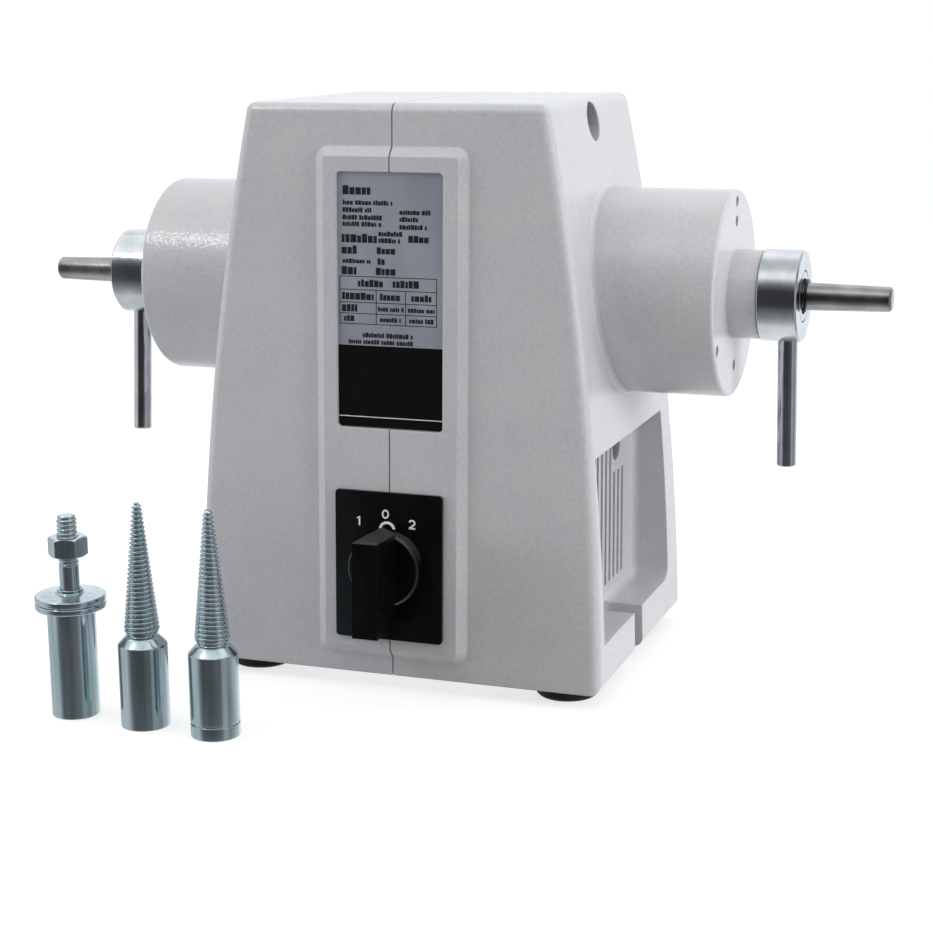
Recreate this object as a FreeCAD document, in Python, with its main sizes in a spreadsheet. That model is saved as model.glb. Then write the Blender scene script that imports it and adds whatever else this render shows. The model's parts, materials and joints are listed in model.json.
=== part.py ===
"""Double-ended dental polishing lathe.

A cast casing in two halves, split on the plane X = 0, holds an induction motor whose shaft comes
out tapered at both ends. Round each shaft end sits an ejector: a collar that its lever turns, and a
push ring that pushes the chuck off the taper. A cam switch sits on the front. Three chucks stand on
the bench beside the lathe.

Frame: X along the shaft, -Y to the front, +Z up. The origin is on the bench under the middle of the
shaft. Millimetres.
"""
import FreeCAD, Part
import math
import os
import re
import Sketcher

V = FreeCAD.Vector
doc = FreeCAD.newDocument("PolishingLathe")
sheet = doc.addObject("Spreadsheet::Sheet", "Sizes")

# ---------------------------------------------------------------- driving dimensions

SIZES = [
    # casing
    ("casing_foot", 7.6, "height of the casing's bottom edge above the bench"),
    ("casing_crown", 87.8, "casing's top above the shaft axis"),
    ("side_radius", 1430, "radius of the long curve of each side"),
    ("side_apex", -13, "height at which that curve is widest"),
    ("half_width", 99.2, "half of the casing's width at the widest"),
    ("front_bottom", 78.5, "front face in front of the shaft, at the bottom"),
    ("front_top", 68.6, "the same at the top"),
    ("back_bottom", 75, "back face behind the shaft, at the bottom"),
    ("back_top", 64.5, "the same at the top"),
    ("edge_round", 4.5, "rounding of the casing's outer edges"),
    ("wall", 6, "casting wall"),
    ("seam_gap", 0.6, "gap between the halves' rims, whose bosses meet"),
    # hubs
    ("axis_height", 180.5, "shaft axis above the bench"),
    ("hub_radius", 47.2, "hub outside"),
    ("hub_end", 140.3, "hub end face from the middle"),
    ("hub_edge", 1.5, "rounding of the hub's end edge"),
    ("hub_root", 3, "fillet where the hub meets the side"),
    ("hub_bore", 41, "hub inside"),
    ("web_start", 120, "inner face of the hub's end wall"),
    ("spigot_radius", 20.2, "painted spigot on the hub's end"),
    ("spigot_end", 153.5, "its end, from the middle"),
    ("nose_radius", 15, "machined nose that carries the ejector collar"),
    ("nose_end", 168, "its end, from the middle"),
    ("passage", 12, "radius of the passage round the shaft"),
    ("guide_start", 150, "where the push ring's guide bore starts"),
    ("hub_tap", 2.5, "radius of the tapped holes in the hub's end"),
    ("hub_tap_depth", 14, "their depth"),
    ("cover_circle", 42, "radius of the circle of three holes"),
    ("jack_circle", 33, "radius of the circle of two holes"),
    # side recess, vents and bench slot
    ("recess_wall", 79.5, "inner wall of the side recess, from the middle"),
    ("recess_front", 68, "front end of the recess"),
    ("recess_back", 50, "back end of the recess"),
    ("recess_floor", 28.5, "floor of the recess above the bench"),
    ("recess_top", 114, "ceiling of the recess above the bench"),
    ("recess_round", 4, "rounding of the recess's inner corners"),
    ("recess_toe", 7, "rounding between its floor and its back end"),
    ("vent_count", 10, "vent slots in the recess's inner wall"),
    ("vent_width", 3.4, "width of one"),
    ("vent_pitch", 7.35, "spacing"),
    ("vent_low", 36, "their lower end"),
    ("vent_high", 89, "their upper end below the screws"),
    ("vent_tall", 104, "upper end of those between the screws"),
    ("vent_middle", -2.5, "middle of the row, along Y"),
    ("bench_slot", 14, "width of the bench bolt slot"),
    ("bench_slot_y", -8.5, "its middle, along Y"),
    ("bench_slot_end", 84, "centre of its round end, from the middle"),
    # casing screws
    ("screw", 4, "radius of the casing screws' thread"),
    ("screw_clear", 0.5, "radial clearance of their holes in the right half"),
    ("thread_clear", 0.05, "radial clearance drawn between a thread and its tapped hole"),
    ("screw_head", 6.5, "radius of a casing screw's head"),
    ("screw_head_len", 8, "its length"),
    ("screw_socket", 3, "half the width of its hexagon socket"),
    ("screw_grip", 20, "thread length in the left half"),
    ("boss", 9.5, "radius of the screw bosses"),
    ("top_screw_drop", 10.6, "top casing screw below the casing's top"),
    ("top_screw_y", -3.5, "the same screw, along Y"),
    ("top_screw_seat", 40, "where its head seats, from the middle"),
    ("top_counterbore", 8.9, "radius of its counterbore"),
    ("low_screw_z", 101.5, "lower casing screws above the bench"),
    ("low_screw_span", 21.5, "each of the two, from vent_middle, along Y"),
    ("low_screw_seat", 68, "where their heads seat"),
    ("low_counterbore", 7, "radius of their counterbore"),
    # front plinth, name plate, switch
    ("plinth_half", 36.4, "half width of the raised panel at its foot"),
    ("plinth_low", 16.2, "its lower edge above the bench"),
    ("plinth_drop", 18.8, "its upper edge below the casing's top"),
    ("plinth_rise", 3.6, "how far it stands proud"),
    ("plinth_bevel", 4.3, "width of its sloping border"),
    ("plinth_corner", 6, "its corner radius"),
    ("label_half", 25.4, "half width of the name plate's recess"),
    ("label_low", 123.5, "its lower edge above the bench"),
    ("label_drop", 11.2, "its upper edge below the panel's"),
    ("label_corner", 2, "its corner radius"),
    ("label_depth", 2.2, "depth of the recess"),
    ("label_thick", 0.8, "thickness of the name plate"),
    ("fit_gap", 0.15, "gap all round a plate in its recess"),
    ("switch_z", 60.4, "switch axis above the bench, measured up the front face"),
    ("switch_half", 26, "half width of the switch plate"),
    ("switch_half_tall", 34.5, "half height of the switch plate"),
    ("switch_corner", 1.8, "its corner radius"),
    ("switch_thick", 1.8, "its thickness"),
    ("housing_half", 22, "half width of the switch housing, behind the front wall"),
    ("housing_depth", 44, "its depth"),
    ("housing_neck", 13.5, "radius of its neck through the front wall"),
    ("housing_wall", 3, "its wall"),
    ("opening_gap", 0.3, "gap round that neck in the casing"),
    ("spindle", 3, "radius of the switch spindle"),
    ("cam", 11, "radius of the switch cams"),
    ("cam_count", 4, "cams on the spindle"),
    ("cam_pitch", 9, "their spacing"),
    ("cam_thick", 5, "thickness of one"),
    ("knob_gap", 0.4, "gap between the knob and the plate"),
    ("knob_disc", 17.2, "radius of the knob's disc"),
    ("knob_disc_top", 7.3, "top of the disc above the plate"),
    ("grip_half", 6, "half width of the grip bar"),
    ("grip_up", 16.7, "its upper end from the knob's axis"),
    ("grip_point", 20, "its pointed foot from the knob's axis"),
    ("grip_down", 26.8, "its lower end from the knob's axis"),
    ("grip_top", 29, "its face above the plate"),
    ("grip_lap", 0.5, "how far the grip runs into the disc"),
    ("tip_radius", 4, "radius of the pointer's nose"),
    ("tip_centre", 17.4, "its centre from the knob's axis"),
    ("tip_top", 1.3, "top of the nose above the plate"),
    ("mark_width", 1.2, "width of the white pointer mark"),
    ("mark_thick", 0.3, "its thickness"),
    ("plate_screw", 1.5, "radius of the switch screws"),
    ("plate_screw_x", 9, "each of them from the knob's axis, under its disc"),
    ("plate_screw_head", 2.8, "radius of their countersunk heads"),
    # base
    ("base_thick", 2.5, "base plate"),
    ("base_screw", 2, "radius of the base plate's screws"),
    ("base_screw_len", 12, "their length in the bosses"),
    ("base_screw_x", 50, "each of them from the middle"),
    ("base_screw_in", 11, "each of them inside the casing's edge"),
    ("base_boss", 6, "radius of their bosses"),
    ("base_boss_top", 32, "top of the bosses above the bench"),
    ("foot_radius", 14.4, "rubber foot"),
    ("foot_x", 77.4, "each foot from the middle"),
    ("foot_in", 23.4, "each foot inside the casing's front or back edge"),
    ("foot_screw", 2.5, "radius of the foot screws"),
    ("foot_screw_len", 14, "their length in the casting"),
    ("foot_cup", 5.5, "radius of the foot's screw recess"),
    ("foot_cup_depth", 4, "its depth"),
    # motor
    ("stator_radius", 58, "stator core outside"),
    ("stator_bore", 33, "stator core inside"),
    ("stator_half", 36, "half length of the core"),
    ("seat_ring", 67, "outside of the cast ring that holds the stator"),
    ("seat_clear", 0.03, "radial clearance of pressed and seated cylinders"),
    ("seat_lip", 3, "height and thickness of its stop lip"),
    ("slot_count", 24, "stator slots"),
    ("slot_width", 4.6, "width of one"),
    ("slot_low", 34.6, "bottom radius of a slot"),
    ("slot_high", 47, "top radius of a slot"),
    ("coil_clear", 0.2, "gap between a coil side and its slot"),
    ("coil_end", 56, "end of the end windings, from the middle"),
    ("coil_gap", 1.5, "gap between core and end winding"),
    ("coil_inner", 35.5, "inner radius of the end windings"),
    ("coil_outer", 54, "outer radius of the end windings"),
    ("air_gap", 0.4, "between rotor and stator"),
    ("bar_count", 18, "rotor bars"),
    ("bar_radius", 2, "radius of a rotor bar"),
    ("bar_circle", 28, "radius of their circle"),
    ("cage_ring", 8, "width of a rotor end ring"),
    ("cage_inner", 22, "its inner radius"),
    ("rotor_seat", 11, "shaft radius under the rotor"),
    ("rotor_seat_half", 46, "half length of that seat"),
    ("shaft_body", 10, "shaft radius between rotor and bearings"),
    ("fan_start", 62, "fan, from the middle, on the left"),
    ("fan_width", 18, "its width"),
    ("fan_radius", 37, "its radius"),
    ("fan_hub", 14, "radius of its hub"),
    ("fan_plate", 2, "thickness of its back plate"),
    ("fan_blades", 9, "blades"),
    ("fan_blade", 1.8, "thickness of one"),
    # bearings
    ("bearing_start", 121.5, "inner face of a bearing, from the middle"),
    ("bearing_width", 12, "bearing width"),
    ("bearing_outer", 20, "radius of its outside"),
    ("bearing_bore", 8.5, "radius of its bore"),
    ("outer_land", 17.2, "inside radius of its outer ring"),
    ("inner_land", 11.6, "outside radius of its inner ring"),
    ("ball", 3.375, "radius of a ball"),
    ("ball_count", 8, "balls"),
    ("groove_gap", 0.1, "gap between ball and groove"),
    ("cage_half", 1.3, "half thickness of the ball cage"),
    ("cage_width", 8, "width of the ball cage"),
    ("circlip_thick", 1, "bearing circlips and retaining rings"),
    ("circlip_outer", 10.4, "radius of a bearing circlip"),
    ("circlip_depth", 0.5, "depth of its groove"),
    ("wave_thick", 1.2, "wave spring behind the left bearing"),
    ("wave_inner", 15, "its inner radius"),
    ("seal_start", 137, "shaft seal, from the middle"),
    ("seal_width", 4, "its width"),
    ("seal_radius", 11.3, "its radius"),
    # shaft ends and ejectors
    ("neck", 7.5, "shaft radius inside the ejector"),
    ("neck_end", 169.6, "end of that neck"),
    ("taper_base", 6.3, "radius at the taper's large end"),
    ("taper_tip", 5.6, "radius at its small end"),
    ("shaft_end", 211.3, "shaft end from the middle"),
    ("shaft_chamfer", 1, "chamfer of the shaft's end"),
    ("collar_end", 171.8, "ejector collar's outer face"),
    ("collar_radius", 20.9, "its radius"),
    ("collar_lip", 3.8, "thickness of its outer wall"),
    ("collar_chamfer", 0.8, "chamfer of its edges"),
    ("collar_gap", 0.3, "gap between collar and spigot"),
    ("slide_clear", 0.05, "radial clearance of turning and sliding fits"),
    ("lip_clear", 0.4, "radial gap between the collar's lip and the push ring"),
    ("push_outer", 11.5, "push ring outside"),
    ("push_inner", 8.3, "push ring inside"),
    ("push_start", 152, "its inner end, from the middle"),
    ("ring_outer", 7.85, "retaining ring outside"),
    ("ring_start", 172.6, "retaining ring, from the middle"),
    ("ring_depth", 0.7, "depth of its groove"),
    ("lever_x", 164.6, "lever rod from the middle"),
    ("lever_radius", 4.5, "lever rod"),
    ("lever_end", 80.5, "its end below the shaft axis"),
    ("lever_seat", 19, "where its shoulder seats in the collar, below the axis"),
    ("lever_lean_left", -5, "left lever at rest: degrees its end hangs to the back, minus is to the front"),
    ("lever_lean_right", 5, "the same of the right lever"),
    ("dog_radius", 2.2, "dog point on its inner end"),
    ("dog_groove", 1.5, "depth of the nose's groove for the dog"),
    # electrics
    ("cap_radius", 17, "run capacitor"),
    ("cap_half", 35, "half its length"),
    ("cap_y", 40, "its axis, along Y"),
    ("cap_z", 32, "its axis above the bench"),
    ("band", 1.6, "thickness of its clip"),
    ("band_half", 7.5, "half width of the clip"),
    ("tab_reach", 28, "half length of the clip's foot"),
    ("tab_screw", 24, "each of its screws from its middle"),
    ("block_x", -52, "terminal block's middle, along X"),
    ("block_y", -48, "its middle, along Y"),
    ("block_long", 36, "its length"),
    ("block_deep", 18, "its depth"),
    ("block_tall", 15, "its height"),
    ("block_ways", 4, "terminals"),
    ("gland_x", -46, "cable gland, along X"),
    ("gland_up", 36, "its height up the back face"),
    ("gland_thread", 6, "radius of its thread"),
    ("gland_bore", 3.4, "radius of its cable bore"),
    ("gland_hex", 9, "half the width of its hexagon"),
    ("gland_flange", 4, "thickness of its hexagon"),
    ("gland_dome", 15, "length of its cap"),
    ("gland_cap", 8.2, "radius of its cap"),
    ("gland_nut", 4, "thickness of its nut"),
    ("lead", 1.4, "radius of an inner lead"),
    # chucks
    ("arbor_x", -124.9, "wheel arbor, along X"),
    ("arbor_y", -151, "the same, along Y"),
    ("right_chuck_x", -88, "right-hand taper chuck, along X"),
    ("right_chuck_y", -154, "the same, along Y"),
    ("left_chuck_x", -52.7, "left-hand taper chuck, along X"),
    ("left_chuck_y", -155.8, "the same, along Y"),
    ("chuck_radius", 10.9, "taper chuck bodies"),
    ("arbor_radius", 10.7, "wheel arbor's body"),
    ("chuck_edge", 0.6, "chamfer of their lower edge"),
    ("bore_depth", 36, "depth of their taper bore"),
    ("bore_clear", 0.05, "how much wider the bore is than the taper"),
    ("arbor_tall", 49.6, "wheel arbor's body"),
    ("flange_radius", 15.8, "wheel arbor's flanges"),
    ("flange_thick", 3, "thickness of each at its rim"),
    ("flange_dish", 0.9, "rise of the loose flange towards its middle"),
    ("flange_hub", 5.8, "radius of its hub"),
    ("flange_hub_tall", 1.8, "height of that hub"),
    ("stem", 4.4, "radius of the arbor's plain stem"),
    ("stem_end", 69, "top of the stem above the bench"),
    ("stud", 4.5, "radius of the arbor's thread"),
    ("stud_end", 92, "top of the thread above the bench"),
    ("nut_low", 73.6, "underside of the nut above the bench"),
    ("nut_tall", 8.8, "nut"),
    ("nut_half", 7.65, "half its width across flats"),
    ("nut_turn", 10, "how far its flats are turned from the Y axis, in degrees"),
    ("taper_body", 37.3, "straight part of a taper chuck's body"),
    ("taper_shoulder", 41.2, "top of its shoulder"),
    ("shoulder_radius", 7, "radius at the top of the shoulder"),
    ("thread_neck", 6.3, "radius of the neck under the thread"),
    ("thread_low", 43, "lower end of the tapered thread"),
    ("thread_high", 101, "upper end of the tapered thread"),
    ("thread_base", 7.95, "crest radius at its lower end"),
    ("thread_tip", 2, "crest radius at its upper end"),
    ("mark_low", 5.8, "left-hand groove above the bench"),
    ("mark_tall", 1.2, "width of that groove"),
    ("mark_depth", 0.5, "its depth"),
]

DERIVED = [
    ("casing_top", "=axis_height + casing_crown"),
    ("casing_height", "=casing_top - casing_foot"),
    ("top_screw_z", "=casing_top - top_screw_drop"),
    ("plinth_high", "=casing_top - plinth_drop"),
    ("label_high", "=plinth_high - label_drop"),
    ("front_lean", "=atan((front_bottom - front_top) / casing_height) / 1 deg"),
    ("back_lean", "=atan((back_bottom - back_top) / casing_height) / 1 deg"),
    ("rise", "=casing_height / sqrt(casing_height ^ 2 + (front_bottom - front_top) ^ 2)"),
    ("plate_face", "=plinth_rise + switch_thick"),
    ("bearing_end", "=bearing_start + bearing_width"),
    ("guide_bore", "=push_outer + slide_clear"),
    ("ball_circle", "=(outer_land + inner_land) / 2"),
    ("foot_front", "=foot_in - front_bottom"),
    ("foot_back", "=back_bottom - foot_in"),
    ("arbor_flange", "=arbor_tall + flange_thick"),
]

for row, (alias, number, note) in enumerate(SIZES, 1):
    sheet.set(f"A{row}", alias)
    sheet.set(f"B{row}", str(number))
    sheet.set(f"C{row}", note)
    sheet.setAlias(f"B{row}", alias)
for row, (alias, formula) in enumerate(DERIVED, len(SIZES) + 2):
    sheet.set(f"A{row}", alias)
    sheet.set(f"B{row}", formula)
    sheet.setAlias(f"B{row}", alias)
doc.recompute()
ALIASES = {entry[0] for entry in SIZES + DERIVED}


# ---------------------------------------------------------------- small tools

def linked(text):
    """An expression whose size names point at the sheet."""
    return re.sub(r"[a-z][a-z_]+", lambda w: "Sizes." + w[0] if w[0] in ALIASES else w[0], str(text))


def value(text):
    """What an expression is worth now."""
    return float(sheet.evalExpression(linked(text)))


def bind(thing, **texts):
    for prop, text in texts.items():
        thing.setExpression(prop, linked(text))
    return thing


def put(thing, x="0", y="0", z="0"):
    """Tie a placement's position to the sheet."""
    for letter, text in zip("xyz", (x, y, z)):
        thing.setExpression("Placement.Base." + letter, linked(text))
    return thing


def tip_over(thing, axis, angle):
    """Turn a thing about one axis by an angle tied to the sheet."""
    thing.Placement.Rotation = FreeCAD.Rotation(axis, value(angle))
    thing.setExpression("Placement.Rotation.Angle", linked(angle))
    return thing


def on_front(thing, x="0", up="0", out="0"):
    """Stand a thing on the leaning front face: its X across, its Y up the face, its Z outwards."""
    tip_over(thing, V(1, 0, 0), "90 - front_lean")
    y = f"-front_bottom + ({up}) * sin(front_lean * 1 deg) - ({out}) * cos(front_lean * 1 deg)"
    z = f"casing_foot + ({up}) * cos(front_lean * 1 deg) + ({out}) * sin(front_lean * 1 deg)"
    return put(thing, x, y, z)


def on_back(thing, x="0", up="0", out="0"):
    """Stand a thing on the leaning back face: its X across, its Y down the face, its Z outwards."""
    tip_over(thing, V(1, 0, 0), "-(90 - back_lean)")
    y = f"back_bottom - ({up}) * sin(back_lean * 1 deg) + ({out}) * cos(back_lean * 1 deg)"
    z = f"casing_foot + ({up}) * cos(back_lean * 1 deg) + ({out}) * sin(back_lean * 1 deg)"
    return put(thing, x, y, z)


def block(name, x, y, z):
    """A box between two limits on each axis."""
    box = doc.addObject("Part::Box", name)
    for prop, (low, high) in zip(("Length", "Width", "Height"), (x, y, z)):
        bind(box, **{prop: f"({high}) - ({low})"})
    return put(box, x[0], y[0], z[0])


TURNS = {"X": (V(0, 1, 0), 90), "Y": (V(1, 0, 0), -90), "Z": (V(0, 0, 1), 0)}


def rod(name, axis, low, high, radius, centre=("0", "0")):
    """A round bar along one axis; centre gives its other two coordinates."""
    bar = doc.addObject("Part::Cylinder", name)
    bar.Placement.Rotation = FreeCAD.Rotation(*TURNS[axis])
    bind(bar, Radius=radius, Height=f"({high}) - ({low})")
    spot = list(centre)
    spot.insert("XYZ".index(axis), low)
    return put(bar, *spot)


def fuse(name, *parts):
    joined = doc.addObject("Part::MultiFuse", name)
    joined.Shapes = list(parts)
    return joined


def common(name, *parts):
    shared = doc.addObject("Part::MultiCommon", name)
    shared.Shapes = list(parts)
    return shared


def cut(name, base, *tools):
    left = doc.addObject("Part::Cut", name)
    left.Base = base
    left.Tool = tools[0] if len(tools) == 1 else fuse(name + "_tools", *tools)
    return left


def group(name, *parts):
    several = doc.addObject("Part::Compound", name)
    several.Links = list(parts)
    return several


def edge_numbers(shape, wanted):
    return [i for i, edge in enumerate(shape.Edges, 1) if wanted(edge)]


def rounded(name, base, radius, wanted):
    """Round the edges of a solid that a test picks."""
    doc.recompute()
    fillet = doc.addObject("Part::Fillet", name)
    fillet.Base = base
    fillet.Edges = [(i, value(radius), value(radius)) for i in edge_numbers(base.Shape, wanted)]
    return fillet


def new_body(name):
    return doc.addObject("PartDesign::Body", name)


def origin_part(body, role):
    return [part for part in body.Origin.OriginFeatures if part.Role == role][0]


def sketch_on(body, plane, lift=None):
    sketch = body.newObject("Sketcher::SketchObject", body.Name + "_sketch")
    sketch.AttachmentSupport = [(origin_part(body, plane), "")]
    sketch.MapMode = "FlatFace"
    if lift is not None:
        sketch.setExpression("AttachmentOffset.Base.z", linked(lift))
    return sketch


def pin_point(sketch, geometry, point, x, y):
    """Fix one sketch point at two expressions."""
    for kind, text in (("DistanceX", x), ("DistanceY", y)):
        at = sketch.addConstraint(Sketcher.Constraint(kind, -1, 1, geometry, point, value(text)))
        sketch.setExpression(f"Constraints[{at}]", linked(text))


def outline(sketch, points):
    """A closed outline of straight edges, each corner fixed by expressions."""
    here = [V(value(x), value(y), 0) for x, y in points]
    lines = []
    for start, end in zip(here, here[1:] + here[:1]):
        lines.append(sketch.addGeometry(Part.LineSegment(start, end), False))
    for line, after in zip(lines, lines[1:] + lines[:1]):
        sketch.addConstraint(Sketcher.Constraint("Coincident", line, 2, after, 1))
    for line, (x, y) in zip(lines, points):
        pin_point(sketch, line, 1, x, y)
    return sketch


def circle(sketch, x, y, radius):
    ring = sketch.addGeometry(Part.Circle(V(value(x), value(y), 0), V(0, 0, 1), value(radius)), False)
    pin_point(sketch, ring, 3, x, y)
    at = sketch.addConstraint(Sketcher.Constraint("Radius", ring, value(radius)))
    sketch.setExpression(f"Constraints[{at}]", linked(radius))
    return sketch


def revolve(body, sketch, axis):
    turned = body.newObject("PartDesign::Revolution", body.Name + "_turned")
    turned.Profile = sketch
    turned.ReferenceAxis = (sketch, [axis])
    turned.Angle = 360
    return turned


def along_x(name, *outlines):
    """A body turned about X: each outline is a list of (along X, radius)."""
    body = new_body(name)
    sketch = sketch_on(body, "XY_Plane")
    for points in outlines:
        outline(sketch, points)
    revolve(body, sketch, "H_Axis")
    return body


def along_z(name, *outlines):
    """A body turned about Z: each outline is a list of (radius, along Z)."""
    body = new_body(name)
    sketch = sketch_on(body, "XZ_Plane")
    for points in outlines:
        outline(sketch, points)
    revolve(body, sketch, "V_Axis")
    return body


def pad(body, sketch, length, symmetric=False):
    slab = body.newObject("PartDesign::Pad", body.Name + "_pad")
    slab.Profile = sketch
    slab.SideType = "Symmetric" if symmetric else "One side"
    bind(slab, Length=length)
    return slab


def pocket(body, sketch, length, symmetric=False, reverse=False):
    hole = body.newObject("PartDesign::Pocket", body.Name + "_pocket")
    hole.Profile = sketch
    hole.SideType = "Symmetric" if symmetric else "One side"
    hole.Reversed = reverse
    bind(hole, Length=length)
    return hole


def ring_of(body, feature, count, axis):
    """Repeat a feature round one of the body's axes."""
    pattern = body.newObject("PartDesign::PolarPattern", body.Name + "_pattern")
    pattern.Originals = [feature]
    pattern.Axis = (origin_part(body, axis), [""])
    pattern.Angle = 360
    bind(pattern, Occurrences=count)
    body.Tip = pattern
    return pattern


def rectangle(half_x, half_y, centre_y="0"):
    low, high = f"({centre_y}) - ({half_y})", f"({centre_y}) + ({half_y})"
    return [(f"-({half_x})", low), (half_x, low), (half_x, high), (f"-({half_x})", high)]


def round_corners(body, feature, radius, wanted):
    """Round the edges of a body's last feature that a test picks."""
    doc.recompute()
    names = [f"Edge{i}" for i in edge_numbers(feature.Shape, wanted)]
    fillet = body.newObject("PartDesign::Fillet", body.Name + "_round")
    fillet.Base = (feature, names)
    bind(fillet, Radius=radius)
    return fillet


def stands_up(edge):
    """An edge that runs straight along local Z."""
    if not isinstance(edge.Curve, Part.Line):
        return False
    return abs(abs(edge.Curve.Direction.z) - 1) < 1e-6


def mirrored(name, source):
    twin = doc.addObject("Part::Mirroring", name)
    twin.Source = source
    twin.Normal = V(1, 0, 0)
    return twin


def hexagon(half_width):
    """Six corners of a hexagon, flats along X."""
    corner = f"({half_width}) / cos(30 deg)"
    return [(f"{corner} * cos({60 * k + 30} deg)", f"{corner} * sin({60 * k + 30} deg)") for k in range(6)]


PARTS = []


def keep(name, thing):
    """Name a finished sub-part."""
    thing.Label = name
    PARTS.append(thing)
    return thing


def up_front(height):
    """Distance up the front face of a height above the bench."""
    return f"(({height}) - casing_foot) / rise"


# ---------------------------------------------------------------- casing halves

def casing_block(name, inset, seam):
    """The casing's outer form, or the same form a wall smaller: leaning faces, one curved side."""
    wedge = doc.addObject("Part::Wedge", name + "_wedge")
    wedge.Placement.Rotation = FreeCAD.Rotation(V(1, 0, 0), 90)
    bind(wedge, Xmin=seam, X2min=seam, Xmax="half_width + wall", X2max="half_width + wall", Ymin="0")
    bind(wedge, Ymax=f"casing_height - {inset}")
    bind(wedge, Zmin=f"{inset} - back_bottom", Zmax=f"front_bottom - {inset}")
    share = f"(casing_height - {inset}) / casing_height"
    bind(wedge, Z2min=f"{inset} - back_bottom + (back_bottom - back_top) * {share}")
    bind(wedge, Z2max=f"front_bottom - {inset} - (front_bottom - front_top) * {share}")
    put(wedge, "0", "0", "casing_foot")
    curve = rod(name + "_side", "Y", "-front_bottom - wall", "back_bottom + wall",
                f"side_radius - {inset}", ("half_width - side_radius", "side_apex"))
    return common(name, wedge, curve)


def outer_edge(edge):
    """The casing's outer edges, not those of the seam or of the front's and back's foot."""
    box = edge.BoundBox
    low = box.ZMax < value("casing_foot") + 1
    return box.XMax > value("seam_gap") and not (low and box.XLength > 1)


def hub():
    """Hub, spigot and machined nose of the right half, turned about the shaft axis."""
    groove_low = "lever_x - dog_radius - slide_clear"
    groove_high = "lever_x + dog_radius + slide_clear"
    body = along_x("hub", [
        ("hub_root", "0"), ("hub_root", "hub_radius"), ("hub_end", "hub_radius"),
        ("hub_end", "spigot_radius"), ("spigot_end", "spigot_radius"), ("spigot_end", "nose_radius"),
        (groove_low, "nose_radius"), (groove_low, "nose_radius - dog_groove"),
        (groove_high, "nose_radius - dog_groove"), (groove_high, "nose_radius"),
        ("nose_end", "nose_radius"), ("nose_end", "0")])
    rim = value("hub_end")
    round_corners(body, body.Tip, "hub_edge", lambda e: abs(e.BoundBox.XMin - rim) < 1e-6
                  and abs(e.BoundBox.YMax - value("hub_radius")) < 1e-6 and e.BoundBox.XLength < 1e-6)
    return put(body, z="axis_height")


def plinth():
    """Half of the raised front panel with its sloping border, and a little more across the seam."""
    foot = plinth_outline("plinth_foot", "0")
    crest = plinth_outline("plinth_crest", "plinth_bevel")
    bind(crest, **{"Placement.Base.z": "plinth_rise"})
    loft = doc.addObject("Part::Loft", "plinth_loft")
    loft.Sections = [foot, crest]
    loft.Solid = True
    loft.Ruled = True
    on_front(loft)
    return common("plinth", loft, block("plinth_side", ("seam_gap / 2", "half_width"),
                  ("-front_bottom - wall", "0"), ("0", "casing_top")))


def plinth_outline(name, inset):
    """The panel's outline with rounded corners, in the front face's own frame."""
    sketch = doc.addObject("Sketcher::SketchObject", name)
    half, low, high = (value(f"plinth_half - {inset}"), value(up_front("plinth_low") + f" + {inset}"),
                       value(up_front("plinth_high") + f" - {inset}"))
    corner = value(f"max(plinth_corner - {inset}; 1)")
    corners = [(half, low), (half, high), (-half, high), (-half, low)]
    texts = [(f"plinth_half - {inset}", up_front("plinth_low") + f" + {inset}"),
             (f"plinth_half - {inset}", up_front("plinth_high") + f" - {inset}"),
             (f"-(plinth_half - {inset})", up_front("plinth_high") + f" - {inset}"),
             (f"-(plinth_half - {inset})", up_front("plinth_low") + f" + {inset}")]
    size = f"max(plinth_corner - {inset}; 1)"
    arcs = []
    for k, (x, y) in enumerate(corners):
        turn = math.radians(-90 + 90 * k)
        middle = V(x - math.copysign(corner, x), y + corner * (1 if y == low else -1), 0)
        round_edge = Part.ArcOfCircle(Part.Circle(middle, V(0, 0, 1), corner), turn, turn + math.pi / 2)
        arcs.append(sketch.addGeometry(round_edge, False))
        tx, ty = texts[k]
        mid_x = f"{tx} - ({size})" if x > 0 else f"{tx} + ({size})"
        mid_y = f"{ty} + ({size})" if y == low else f"{ty} - ({size})"
        pin_point(sketch, arcs[k], 3, mid_x, mid_y)
        at = sketch.addConstraint(Sketcher.Constraint("Radius", arcs[k], corner))
        sketch.setExpression(f"Constraints[{at}]", linked(size))
    for k in range(4):
        start = sketch.getPoint(arcs[k], 2)
        end = sketch.getPoint(arcs[(k + 1) % 4], 1)
        line = sketch.addGeometry(Part.LineSegment(start, end), False)
        sketch.addConstraint(Sketcher.Constraint("Tangent", arcs[k], 2, line, 1))
        sketch.addConstraint(Sketcher.Constraint("Tangent", line, 2, arcs[(k + 1) % 4], 1))
    return sketch


def front_slab(name, half, low, high, deep, top, corner):
    """A rounded plate or cutter in the front face's frame, between two depths."""
    body = new_body(name)
    middle = f"(({low}) + ({high})) / 2"
    sketch = outline(sketch_on(body, "XY_Plane"), rectangle(half, f"(({high}) - ({low})) / 2", middle))
    slab = pad(body, sketch, f"({top}) - ({deep})")
    if corner:
        round_corners(body, slab, corner, stands_up)
    return on_front(body, out=deep)


def screw_axes():
    """The three casing screws: their Y, Z, seat and counterbore."""
    low = [(f"vent_middle + {side} * low_screw_span", "low_screw_z", "low_screw_seat",
            "low_counterbore") for side in (-1, 1)]
    return [("top_screw_y", "top_screw_z", "top_screw_seat", "top_counterbore")] + low


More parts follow.
